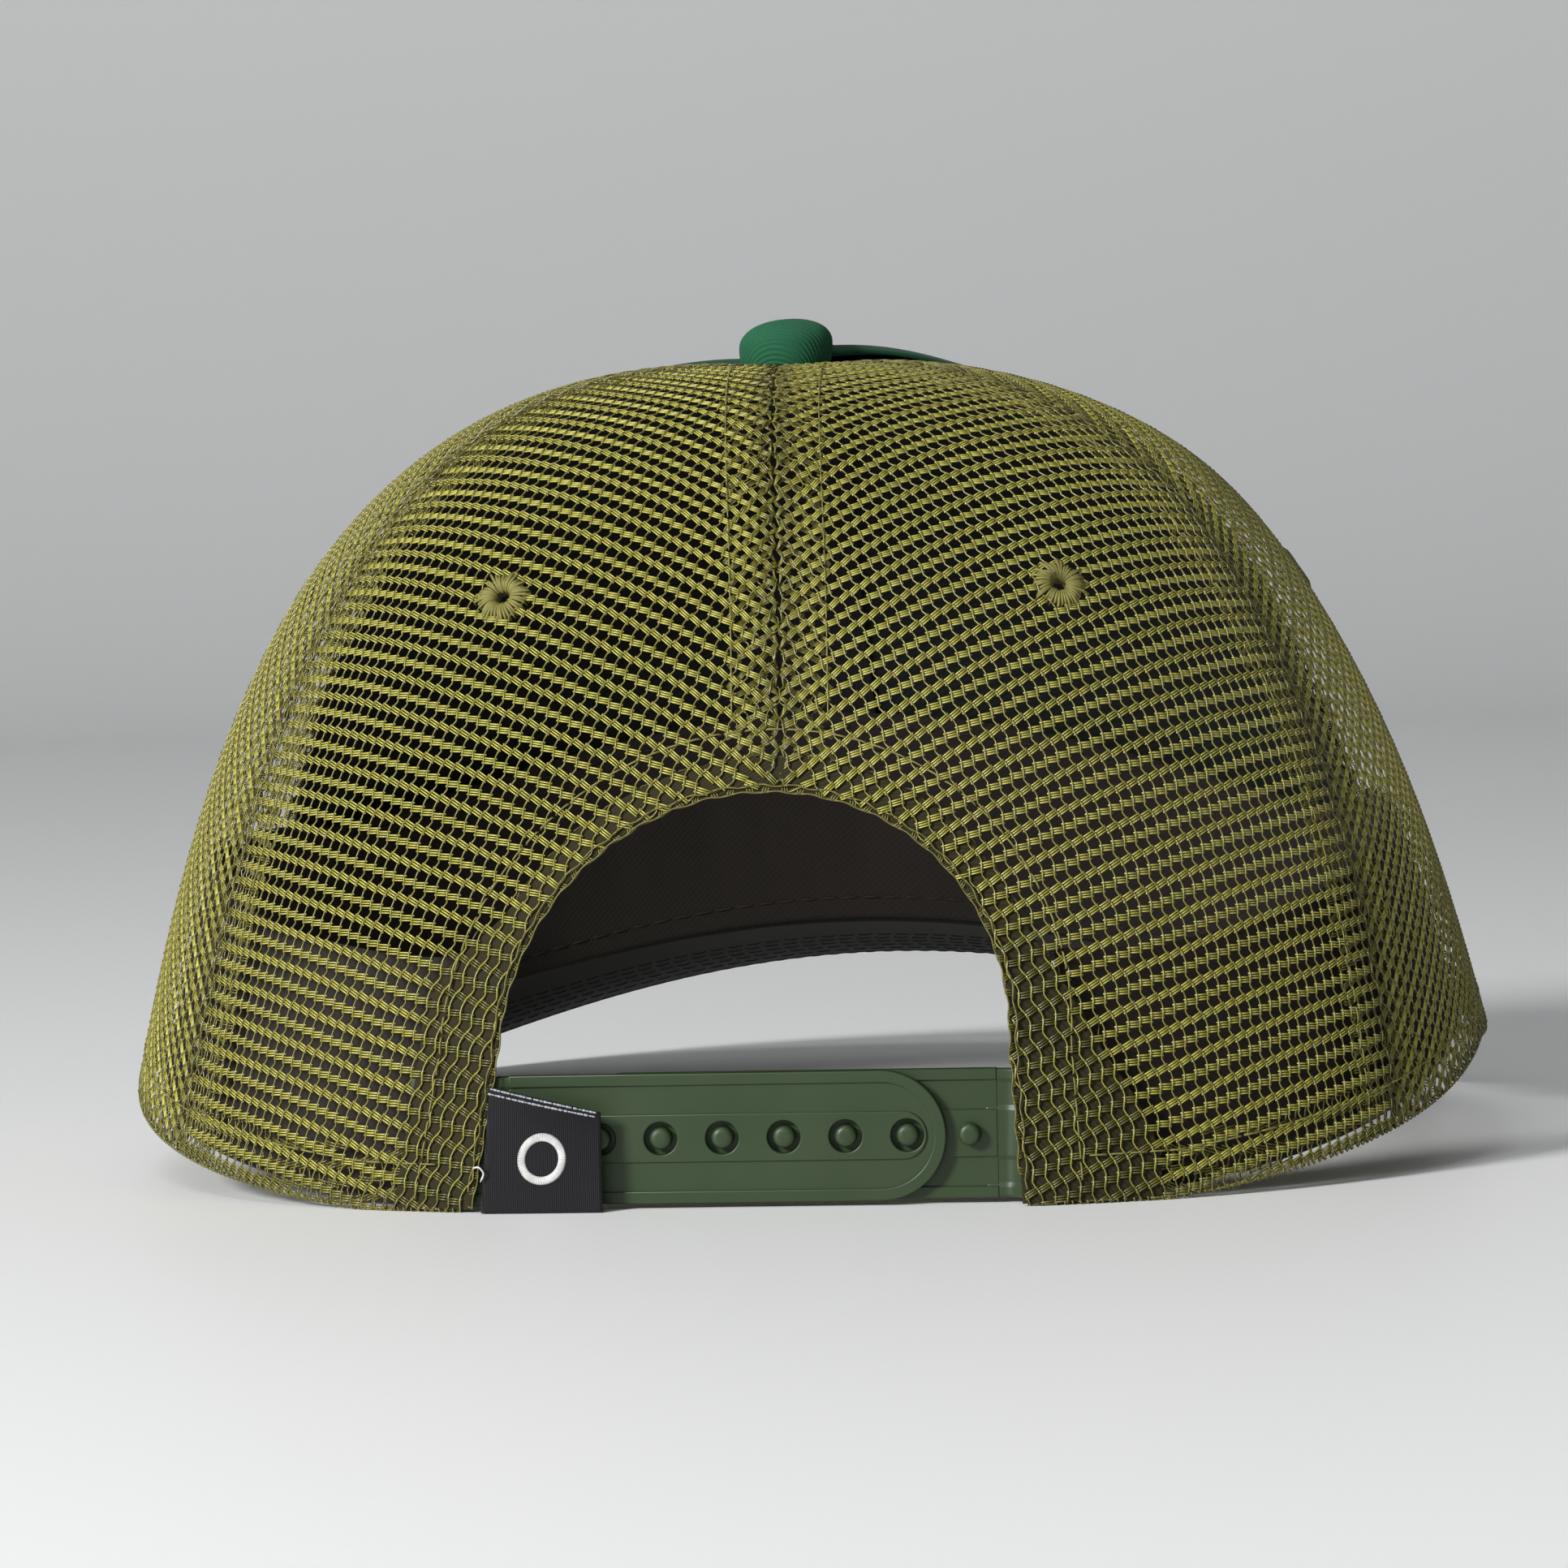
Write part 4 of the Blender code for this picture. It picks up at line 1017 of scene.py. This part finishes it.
def button_piece(twill_plain):
    """The covered button: twill drawn over a dome and tucked in below, with its ribs as real relief."""
    side = np.linspace(-1, 1, 211)
    a, b = np.meshgrid(side, side, indexing="ij")
    ring = np.maximum(np.abs(a), np.abs(b))
    with np.errstate(divide="ignore", invalid="ignore"):
        steep = np.abs(a) > np.abs(b)
        angle = np.where(steep, math.pi / 4 * b / a, math.pi / 2 - math.pi / 4 * a / b)
    angle = np.nan_to_num(angle) + np.where(np.where(steep, a, b) < 0, math.pi, 0)
    bow = ring * 2.25
    reach = (BUTTON_RADIUS - 0.35 * MM) * np.sin(np.minimum(bow, math.pi / 2)) ** 0.9
    tuck = np.maximum(bow - math.pi / 2, 0)
    reach = reach - 1.3 * MM * (1 - np.cos(tuck * 1.5))
    top = BUTTON_HEIGHT - BUTTON_MIDDLE + 0.1 * MM
    drop = np.sign(np.cos(bow)) * np.abs(np.cos(bow)) ** 0.9
    z = BUTTON_BASE_Z + BUTTON_MIDDLE + np.where(drop > 0, top * drop, BUTTON_SKIRT * drop)
    apex = surface(0.0, 1.0)
    x, y = reach * np.cos(angle), reach * np.sin(angle)
    z = z - BUTTON_TILT * x
    place = np.stack([apex[0] + x, apex[1] + CAP_SHIFT_Y + y, z], -1)
    cut_x, cut_y = ring * 9.5 * MM * np.cos(angle), ring * 9.5 * MM * np.sin(angle)
    rib = cut_x * math.sin(math.radians(12)) + cut_y * math.cos(math.radians(12))
    relief = 0.075 * MM * np.cos(rib / (0.56 * MM) * math.tau)
    relief += 0.02 * MM * np.cos((cut_x - 0.4 * cut_y) / (0.31 * MM) * math.tau)
    relief += 0.05 * MM * np.sin(cut_x / (2.9 * MM)) * np.cos(cut_y / (2.3 * MM))
    button = shell("button_cloth", place, BUTTON_WALL, twill_plain, edge=0.4 * MM, relief=relief)
    finish_piece(button, "crown", ["button_cover"])


# ---------------------------------------------------------------- strap and label


def flat_solid(name, splines, low, high, bevel, material):
    """Flat outlines (the first outside, the rest holes) between two heights, with rounded edges."""
    data = bpy.data.curves.new(name, "CURVE")
    data.dimensions = "2D"
    data.fill_mode = "BOTH"
    data.extrude = (high - low) / 2 - bevel
    data.bevel_depth = bevel
    data.bevel_resolution = 2
    data.offset = -bevel
    for points in splines:
        spline = data.splines.new("POLY")
        spline.points.add(len(points) - 1)
        for point, (x, y) in zip(spline.points, points):
            point.co = (x, y, 0, 1)
        spline.use_cyclic_u = True
    shape = linked(name, data)
    bpy.context.view_layer.update()
    graph = bpy.context.evaluated_depsgraph_get()
    mesh = bpy.data.meshes.new_from_object(shape.evaluated_get(graph))
    bpy.data.objects.remove(shape)
    mesh.transform(Matrix.Translation((0, 0, (low + high) / 2)))
    mesh.shade_smooth()
    mesh.set_sharp_from_angle(angle=math.radians(50))
    mesh.materials.clear()
    mesh.materials.append(material)
    return linked(name, mesh)


def arc(centre_x, radius, start, end, count):
    angles = np.radians(np.linspace(start, end, count + 1))
    return [(centre_x + radius * math.cos(a), radius * math.sin(a)) for a in angles]


def rounded_outline(length, inset, start):
    half = STRAP_HEIGHT / 2
    reach = half - inset
    return [(start, -reach)] + arc(length - half, reach, -90, 90, 40) + [(start, reach)]


def rim_outline():
    """The raised rim: a U from the root round the tip and back."""
    inside = rounded_outline(STRAP_LENGTH, STRAP_RIM, ROOT_CLEAR)
    return rounded_outline(STRAP_LENGTH, 0.0, ROOT_CLEAR) + inside[::-1]


def spine_outline():
    spine = STRAP_SPINE / 2
    tip = arc(STRAP_LENGTH - STUD_FROM_TIP - 0.6 * MM, spine, -90, 90, 24)
    return [(ROOT_CLEAR, -spine)] + tip + [(ROOT_CLEAR, spine)]


def stud(centre, low, material):
    """A moulded stud: a short neck and a rounded head."""
    top = STRAP + STUD_HEIGHT - low
    profile = [(0.0, 0.0), (STUD_RADIUS + 0.25 * MM, 0.0), (STUD_RADIUS, 0.3 * MM)]
    profile += [(STUD_RADIUS, top - 0.55 * MM)]
    profile += [(STUD_RADIUS - 0.12 * MM, top - 0.25 * MM), (STUD_RADIUS - 0.42 * MM, top - 0.06 * MM)]
    profile += [(STUD_RADIUS - 0.9 * MM, top), (0.0, top)]
    form = bmesh.new()
    corners = [form.verts.new((r, 0, z)) for r, z in profile]
    edges = [form.edges.new(pair) for pair in zip(corners, corners[1:])]
    bmesh.ops.spin(form, geom=corners + edges, cent=(0, 0, 0), axis=(0, 0, 1), angle=math.tau, steps=32)
    bmesh.ops.remove_doubles(form, verts=form.verts, dist=1e-6)
    bmesh.ops.recalc_face_normals(form, faces=form.faces)
    bmesh.ops.translate(form, verts=form.verts, vec=(centre, 0, low))
    mesh = bpy.data.meshes.new("stud")
    form.to_mesh(mesh)
    form.free()
    mesh.shade_smooth()
    mesh.set_sharp_from_angle(angle=math.radians(60))
    mesh.materials.append(material)
    return linked("stud", mesh)


def strap_half(name, node, side, y, studs, plastic):
    places = [STRAP_LENGTH - STUD_FROM_TIP - STUD_PITCH * k for k in range(STUD_COUNT)]
    outline = rounded_outline(STRAP_LENGTH, 0.0, ROOT_CLEAR)
    low = STRAP - STRAP_RECESS
    holes = []
    if not studs:
        holes = [arc(x, HOLE_RADIUS, 360, 11.25, 31) for x in places]
    base = flat_solid("base", [outline] + holes, 0.0, low + 0.02 * MM, 0.12 * MM, plastic)
    rim = flat_solid("rim", [rim_outline()], low - 0.4 * MM, STRAP, 0.16 * MM, plastic)
    spine_top = STRAP - 0.05 * MM
    spine = flat_solid("spine", [spine_outline()] + holes, low - 0.4 * MM, spine_top, 0.16 * MM, plastic)
    parts = [base, rim, spine]
    if studs:
        parts += [stud(x, low - 0.2 * MM, plastic) for x in places]
    strap = join(parts, name)
    x_axis = Vector((-side, 0, 0))
    y_axis = Vector((0, 0, side))
    turn = Matrix((x_axis, y_axis, Vector((0, 1, 0)))).transposed().to_4x4()
    place = Matrix.Translation((STRAP_CENTRE_X + side * STRAP_HALF_SPAN, y + CAP_SHIFT_Y, STRAP_Z))
    strap.data.transform(place @ turn)
    finish_piece(strap, node + "_flap", [node])


def strap_end(name, node, side, y, plastic):
    """A strap's sewn end, reaching past the line of its living hinge to overlap the start of the plate that
    turns.
    """
    hinge = STRAP_CENTRE_X + side * STRAP_HALF_SPAN
    length = shares(ANCHOR_END + 2.6 * MM, 30, 0.4 * MM) * (ANCHOR_END + 2.6 * MM) - 2.6 * MM
    z = STRAP_Z + (shares(STRAP_HEIGHT, 60, 0.4 * MM) - 0.5) * (STRAP_HEIGHT - 0.1 * MM)
    x = hinge + side * length
    phi, t = back_place(np.broadcast_to(x, (len(z), len(x))), np.broadcast_to(z[:, None], (len(z), len(x))))
    behind = on_crown(phi, t, np.full(phi.shape, -ANCHOR_DEPTH - ANCHOR / 2))
    depth = np.full(phi.shape, y + (STRAP - STRAP_RECESS) / 2 + CAP_SHIFT_Y)
    plane = np.stack([np.broadcast_to(x, phi.shape), depth, np.broadcast_to(z[:, None], phi.shape)], -1)
    share = smooth(0.2 * MM, 6.0 * MM, length)[None, :, None]
    middle = plane + (behind - plane) * share
    middle = middle if side > 0 else middle[:, ::-1]
    off = np.abs(z - STRAP_Z)
    raised = (off > STRAP_HEIGHT / 2 - STRAP_RIM) | (off < STRAP_SPINE / 2)
    relief = np.broadcast_to(np.where(raised, STRAP_RECESS - 0.1 * MM, 0.0)[:, None], phi.shape)
    end = shell(name, middle, STRAP - STRAP_RECESS - 0.1 * MM, plastic, edge=0.3 * MM, relief=relief)
    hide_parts(node + "_anchor")
    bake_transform(end)


def label_surface(along, up):
    """Points of the label's outer ply: along runs from the hem (0) to the fold (1), up from low to high."""
    x = LABEL_X - 0.3 * MM - (LABEL_WIDTH - 0.3 * MM) * along - LABEL_LEAN * up * (1 - along)
    high = LABEL_HIGH + (LABEL_FREE_HIGH - LABEL_HIGH) * along
    z = LABEL_LOW + (high - LABEL_LOW) * up
    swell = 0.45 * MM * np.sin(math.pi * along) * (0.5 + 0.5 * up)
    curl = 0.35 * MM * along**3 * (1 - up)
    return x, LABEL_Y + CAP_SHIFT_Y + swell + curl, z


def label_pieces(satin, white, grey):
    ply, gap = 0.2 * MM, 0.19 * MM
    out = np.linspace(0, 1, 46)
    bend = np.radians(np.linspace(0, 180, 9))[1:-1]
    along = np.concatenate([out, np.ones(len(bend)), out[::-1]])
    level = np.concatenate([np.full(len(out), gap), gap * np.cos(bend), np.full(len(out), -gap)])
    beyond = np.concatenate([np.zeros(len(out)), gap * np.sin(bend), np.zeros(len(out))])
    up = shares(14 * MM, 34, 0.1 * MM)
    a, b = np.meshgrid(along, up, indexing="xy")
    x, y, z = label_surface(a, b)
    part = 0.25 * MM * smooth(0.75, 1.0, b) * np.sin(math.pi * a)
    points = np.stack([x - beyond, y + level + np.sign(level) * part, z], -1)
    label = shell("folded_label", points[:, ::-1], ply, satin, edge=0.1 * MM)
    finish_piece(label, "label_flap", ["woven_label"])

    # a plain ring in satin stitch, and the speckled selvedge along the top
    angle = np.arange(84) * math.tau / 84
    reach = np.array([2.45, 2.6, 2.95, 3.3, 3.45]) * MM
    lift = np.array([0.0, 0.12, 0.17, 0.12, 0.0]) * MM
    flat_x, flat_z = np.cos(angle)[:, None] * reach, np.sin(angle)[:, None] * reach
    place = 0.5 - flat_x / LABEL_WIDTH
    here = LABEL_HIGH + (LABEL_FREE_HIGH - LABEL_HIGH) * place - LABEL_LOW
    x, y, z = label_surface(place, (7.4 * MM + flat_z - LABEL_LOW) / here)
    paths = np.stack([x, y + gap + ply / 2 + lift, z], -1)
    ring = tubes("label_ring", paths, 0.13 * MM, white, sides=5)
    finish_piece(ring, "label_flap")
    dots = []
    for row, (start, size) in enumerate(((0.945, 0.42), (0.975, 0.40))):
        places = np.arange(0.02, 0.98, 0.030) + 0.015 * row + RANDOM.normal(0, 0.005, 32)
        width = np.array([-0.5, -0.2, 0.2, 0.5]) * size * MM / LABEL_WIDTH * 1.1
        x, y, z = label_surface(places[:, None] + width, np.full((len(places), 4), start + 0.012 * row))
        swing = 0.25 * MM * np.sin(math.pi * (places[:, None] + width))
        hump = np.array([0.02, 0.10, 0.10, 0.02]) * MM
        dots.append(np.stack([x, y + gap + ply / 2 + swing + hump, z], -1))
    paths = np.concatenate(dots)
    radii = np.full(paths.shape[:2], 0.14 * MM) * RANDOM.uniform(0.6, 1.2, len(paths))[:, None]
    dots = tubes("label_selvedge", paths, radii, grey, sides=5)
    finish_piece(dots, "label_flap")


def loose_thread(name, points, radius, material, body):
    """A thread end: a smooth line through a few points, thinner at its ends."""
    points = np.array(points) * MM + np.array([0, CAP_SHIFT_Y, 0])
    knots = np.linspace(0, 1, len(points))
    fine = np.linspace(0, 1, 40)
    path = np.stack([np.interp(fine, knots, points[:, i]) for i in range(3)], -1)
    for _ in range(30):
        path[1:-1] = (path[:-2] + 2 * path[1:-1] + path[2:]) / 4
    taper = 0.4 + 0.6 * np.minimum(1, 8 * np.minimum(fine, 1 - fine))
    thread = tubes(name, path[None], (radius * taper)[None], material, sides=6)
    finish_piece(thread, body)


# ---------------------------------------------------------------- scene around the object


def camera_and_stage():
    """The camera behind the cap, a pale floor and soft lights."""
    turn, distance, height = math.radians(5.5), 1034 * MM, 108 * MM
    lens, pitch, roll, yaw = 163.9, math.radians(3.05), math.radians(1.4), math.radians(0.202)
    place = Vector((-math.sin(turn) * distance, math.cos(turn) * distance + CAP_SHIFT_Y, height))
    ahead = Vector((math.sin(turn), -math.cos(turn), 0))
    right = Vector((-math.cos(turn), -math.sin(turn), 0))
    level = ahead * math.cos(yaw) - right * math.sin(yaw)
    side = right * math.cos(yaw) + ahead * math.sin(yaw)
    forward = level * math.cos(pitch) + Vector((0, 0, -math.sin(pitch)))
    up = side.cross(forward)
    rolled_side = side * math.cos(roll) - up * math.sin(roll)
    rolled_up = up * math.cos(roll) + side * math.sin(roll)
    data = bpy.data.cameras.new("camera")
    data.sensor_width = 36
    data.lens = lens
    data.clip_start, data.clip_end = 0.05, 30
    camera = linked("camera", data)
    turn_matrix = Matrix((rolled_side, rolled_up, -forward)).transposed().to_4x4()
    camera.matrix_world = Matrix.Translation(place) @ turn_matrix
    bpy.context.scene.camera = camera

    # A floor that curves up into a backdrop well in front of the visor.
    size, edge, bend = 4.0, -1.3, 0.5
    profile = [(size, 0.0), (edge, 0.0)]
    turns = np.linspace(0.1, math.pi / 2, 12)
    profile += [(edge - bend * math.sin(a), bend * (1 - math.cos(a))) for a in turns]
    profile += [(edge - bend, 4.0)]
    form = bmesh.new()
    rows = [[form.verts.new((x, y, z)) for x in (-size, size)] for y, z in profile]
    for low, high in zip(rows, rows[1:]):
        form.faces.new((low[0], low[1], high[1], high[0]))
    bmesh.ops.recalc_face_normals(form, faces=form.faces)
    mesh = bpy.data.meshes.new("floor")
    form.to_mesh(mesh)
    form.free()
    mesh.shade_smooth()
    floor = linked("floor", mesh)
    floor.data.materials.append(new_material("pale_floor", (0.92, 0.925, 0.925), 0.5)[0])

    def area(name, location, target, size, power, colour=(1, 1, 1)):
        light = bpy.data.lights.new(name, "AREA")
        light.shape = "DISK"
        light.size = size
        light.energy = power
        light.color = colour
        obj = linked(name, light)
        obj.location = location
        aim = Vector(target) - Vector(location)
        obj.rotation_mode = "QUATERNION"
        obj.rotation_quaternion = aim.to_track_quat("-Z", "Y")

    area("key", (1.05, 1.35, 0.78), (0, 0, 0.05), 0.45, 37)
    area("back", (-0.1, 1.7, 0.6), (0, 0, 0.05), 0.6, 2)
    area("top", (0.4, 0.9, 1.7), (0, 0, 0), 0.8, 6)
    world = bpy.data.worlds.new("world")
    world.use_nodes = True
    background = world.node_tree.nodes["Background"]
    background.inputs["Color"].default_value = (0.80, 0.83, 0.86, 1)
    background.inputs["Strength"].default_value = 0.10
    bpy.context.scene.world = world
    view = bpy.context.scene.view_settings
    view.view_transform = "Standard"
    view.look = "None"


# ---------------------------------------------------------------- the cap

EYELETS = [f"{place}_{side}" for place in EYELET_AZIMUTHS for side in ("left", "right")]
EYELET_PLACES = [eyelet_place(gore)[0] for gore in EYELETS]
ARCH = ArchStrip()

camera_and_stage()

# painted shade: the dark olive that the yarn materials mix in where the hem attribute is set
SHADED_OLIVE = linear(76, 71, 25)
YARN = yarn_material("mesh_yarn", linear(186, 181, 78), linear(114, 108, 40), SHADED_OLIVE, 0.32, 0.9)
# the binding and the hem edge loops use the mesh yarn in painted shade: a darker copy of its colours
SHADED_BINDING_YARN = yarn_material("shaded_binding_yarn", linear(110, 104, 40), linear(114, 108, 42), SHADED_OLIVE, 0.42, 0.6)
BACKING = cloth_material("binding_backing", linear(50, 46, 22), 0.5 * MM, 0.5)
OLIVE_THREAD = thread_material("olive_thread", linear(132, 128, 66))
GREEN_THREAD = thread_material("green_thread", linear(34, 96, 66))
TWILL = cloth_material("green_twill", linear(26, 88, 60), 0.75 * MM, 0.55)
BUTTON_TWILL = cloth_material("button_twill", linear(34, 96, 66), 0.5 * MM, 0.15, dark=0.8)
BUCKRAM = cloth_material("buckram_cloth", linear(28, 32, 27), 1.0 * MM, 0.4)
TAPE_CLOTH = cloth_material("tape_cloth", linear(30, 30, 29), 0.6 * MM, 0.4, turn=0)
BAND_CLOTH = cloth_material("sweatband_twill", linear(43, 38, 33), 0.7 * MM, 0.3, turn=50, dark=0.8)
BAND_THREAD = thread_material("sweatband_thread", linear(46, 40, 36))
UNDER = cloth_material("visor_under_twill", linear(48, 45, 40), 0.7 * MM, 0.25, dark=0.85)
UNDER_THREAD = thread_material("visor_under_thread", linear(50, 47, 42))
PLASTIC = moulded_material("green_strap_plastic", linear(43, 61, 33), 0.40, 420)
SATIN = cloth_material("label_satin", linear(13, 13, 18), 0.28 * MM, 0.35, roughness=0.5, turn=0, dark=0.75)
WHITE = thread_material("label_white", linear(226, 226, 224))
GREY = thread_material("label_grey", linear(176, 178, 184))
BOARD = moulded_material("visor_board_plastic", linear(214, 214, 208), 0.5, 300)
STEEL, STEEL_TREE, STEEL_SHADER = new_material("zinc_steel", linear(190, 192, 194), 0.35, Metallic=1.0)
bump(STEEL_TREE, STEEL_SHADER, noise(STEEL_TREE, 900), 0.2, 0.03 * MM)

front_pieces(TWILL, BUCKRAM, TAPE_CLOTH)
visor_pieces(TWILL, UNDER, GREEN_THREAD, UNDER_THREAD)
sweatband_piece(BAND_CLOTH, BAND_THREAD)
button_piece(BUTTON_TWILL)
for place, centre in (("back", 30), ("side", 90)):
    for side, sign in (("left", 1), ("right", -1)):
        mesh_gore(Gore(sign * centre), place, side, YARN)
opening_binding(ARCH, SHADED_BINDING_YARN, BACKING)
hem_cord(SHADED_BINDING_YARN)
for gore in EYELETS:
    eyelet(gore, *eyelet_place(gore), GREEN_THREAD if gore.startswith("front") else OLIVE_THREAD)
seam_stitches(OLIVE_THREAD, GREEN_THREAD)
PIN_STRAP_Y = HOLE_STRAP_Y - STRAP_GAP - STRAP
strap_half("holed_strap", "hole_strap", 1, HOLE_STRAP_Y, False, PLASTIC)
strap_half("studded_strap", "pin_strap", -1, PIN_STRAP_Y, True, PLASTIC)
strap_end("holed_strap_end", "hole_strap", 1, HOLE_STRAP_Y, PLASTIC)
strap_end("studded_strap_end", "pin_strap", -1, PIN_STRAP_Y, PLASTIC)
label_pieces(SATIN, WHITE, GREY)
THREAD_END = [(37.9, 81.6, 4.4), (37.2, 82.1, 5.6), (38.0, 82.3, 6.6), (38.9, 81.4, 6.2)]  # millimetres
loose_thread("label_thread_end", THREAD_END, 0.13 * MM, WHITE, "label_flap")
for name, material in (("visor_board", BOARD), ("button_shell", STEEL), ("button_rivet", STEEL)):
    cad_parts[name].data.materials.clear()
    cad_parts[name].data.materials.append(material)
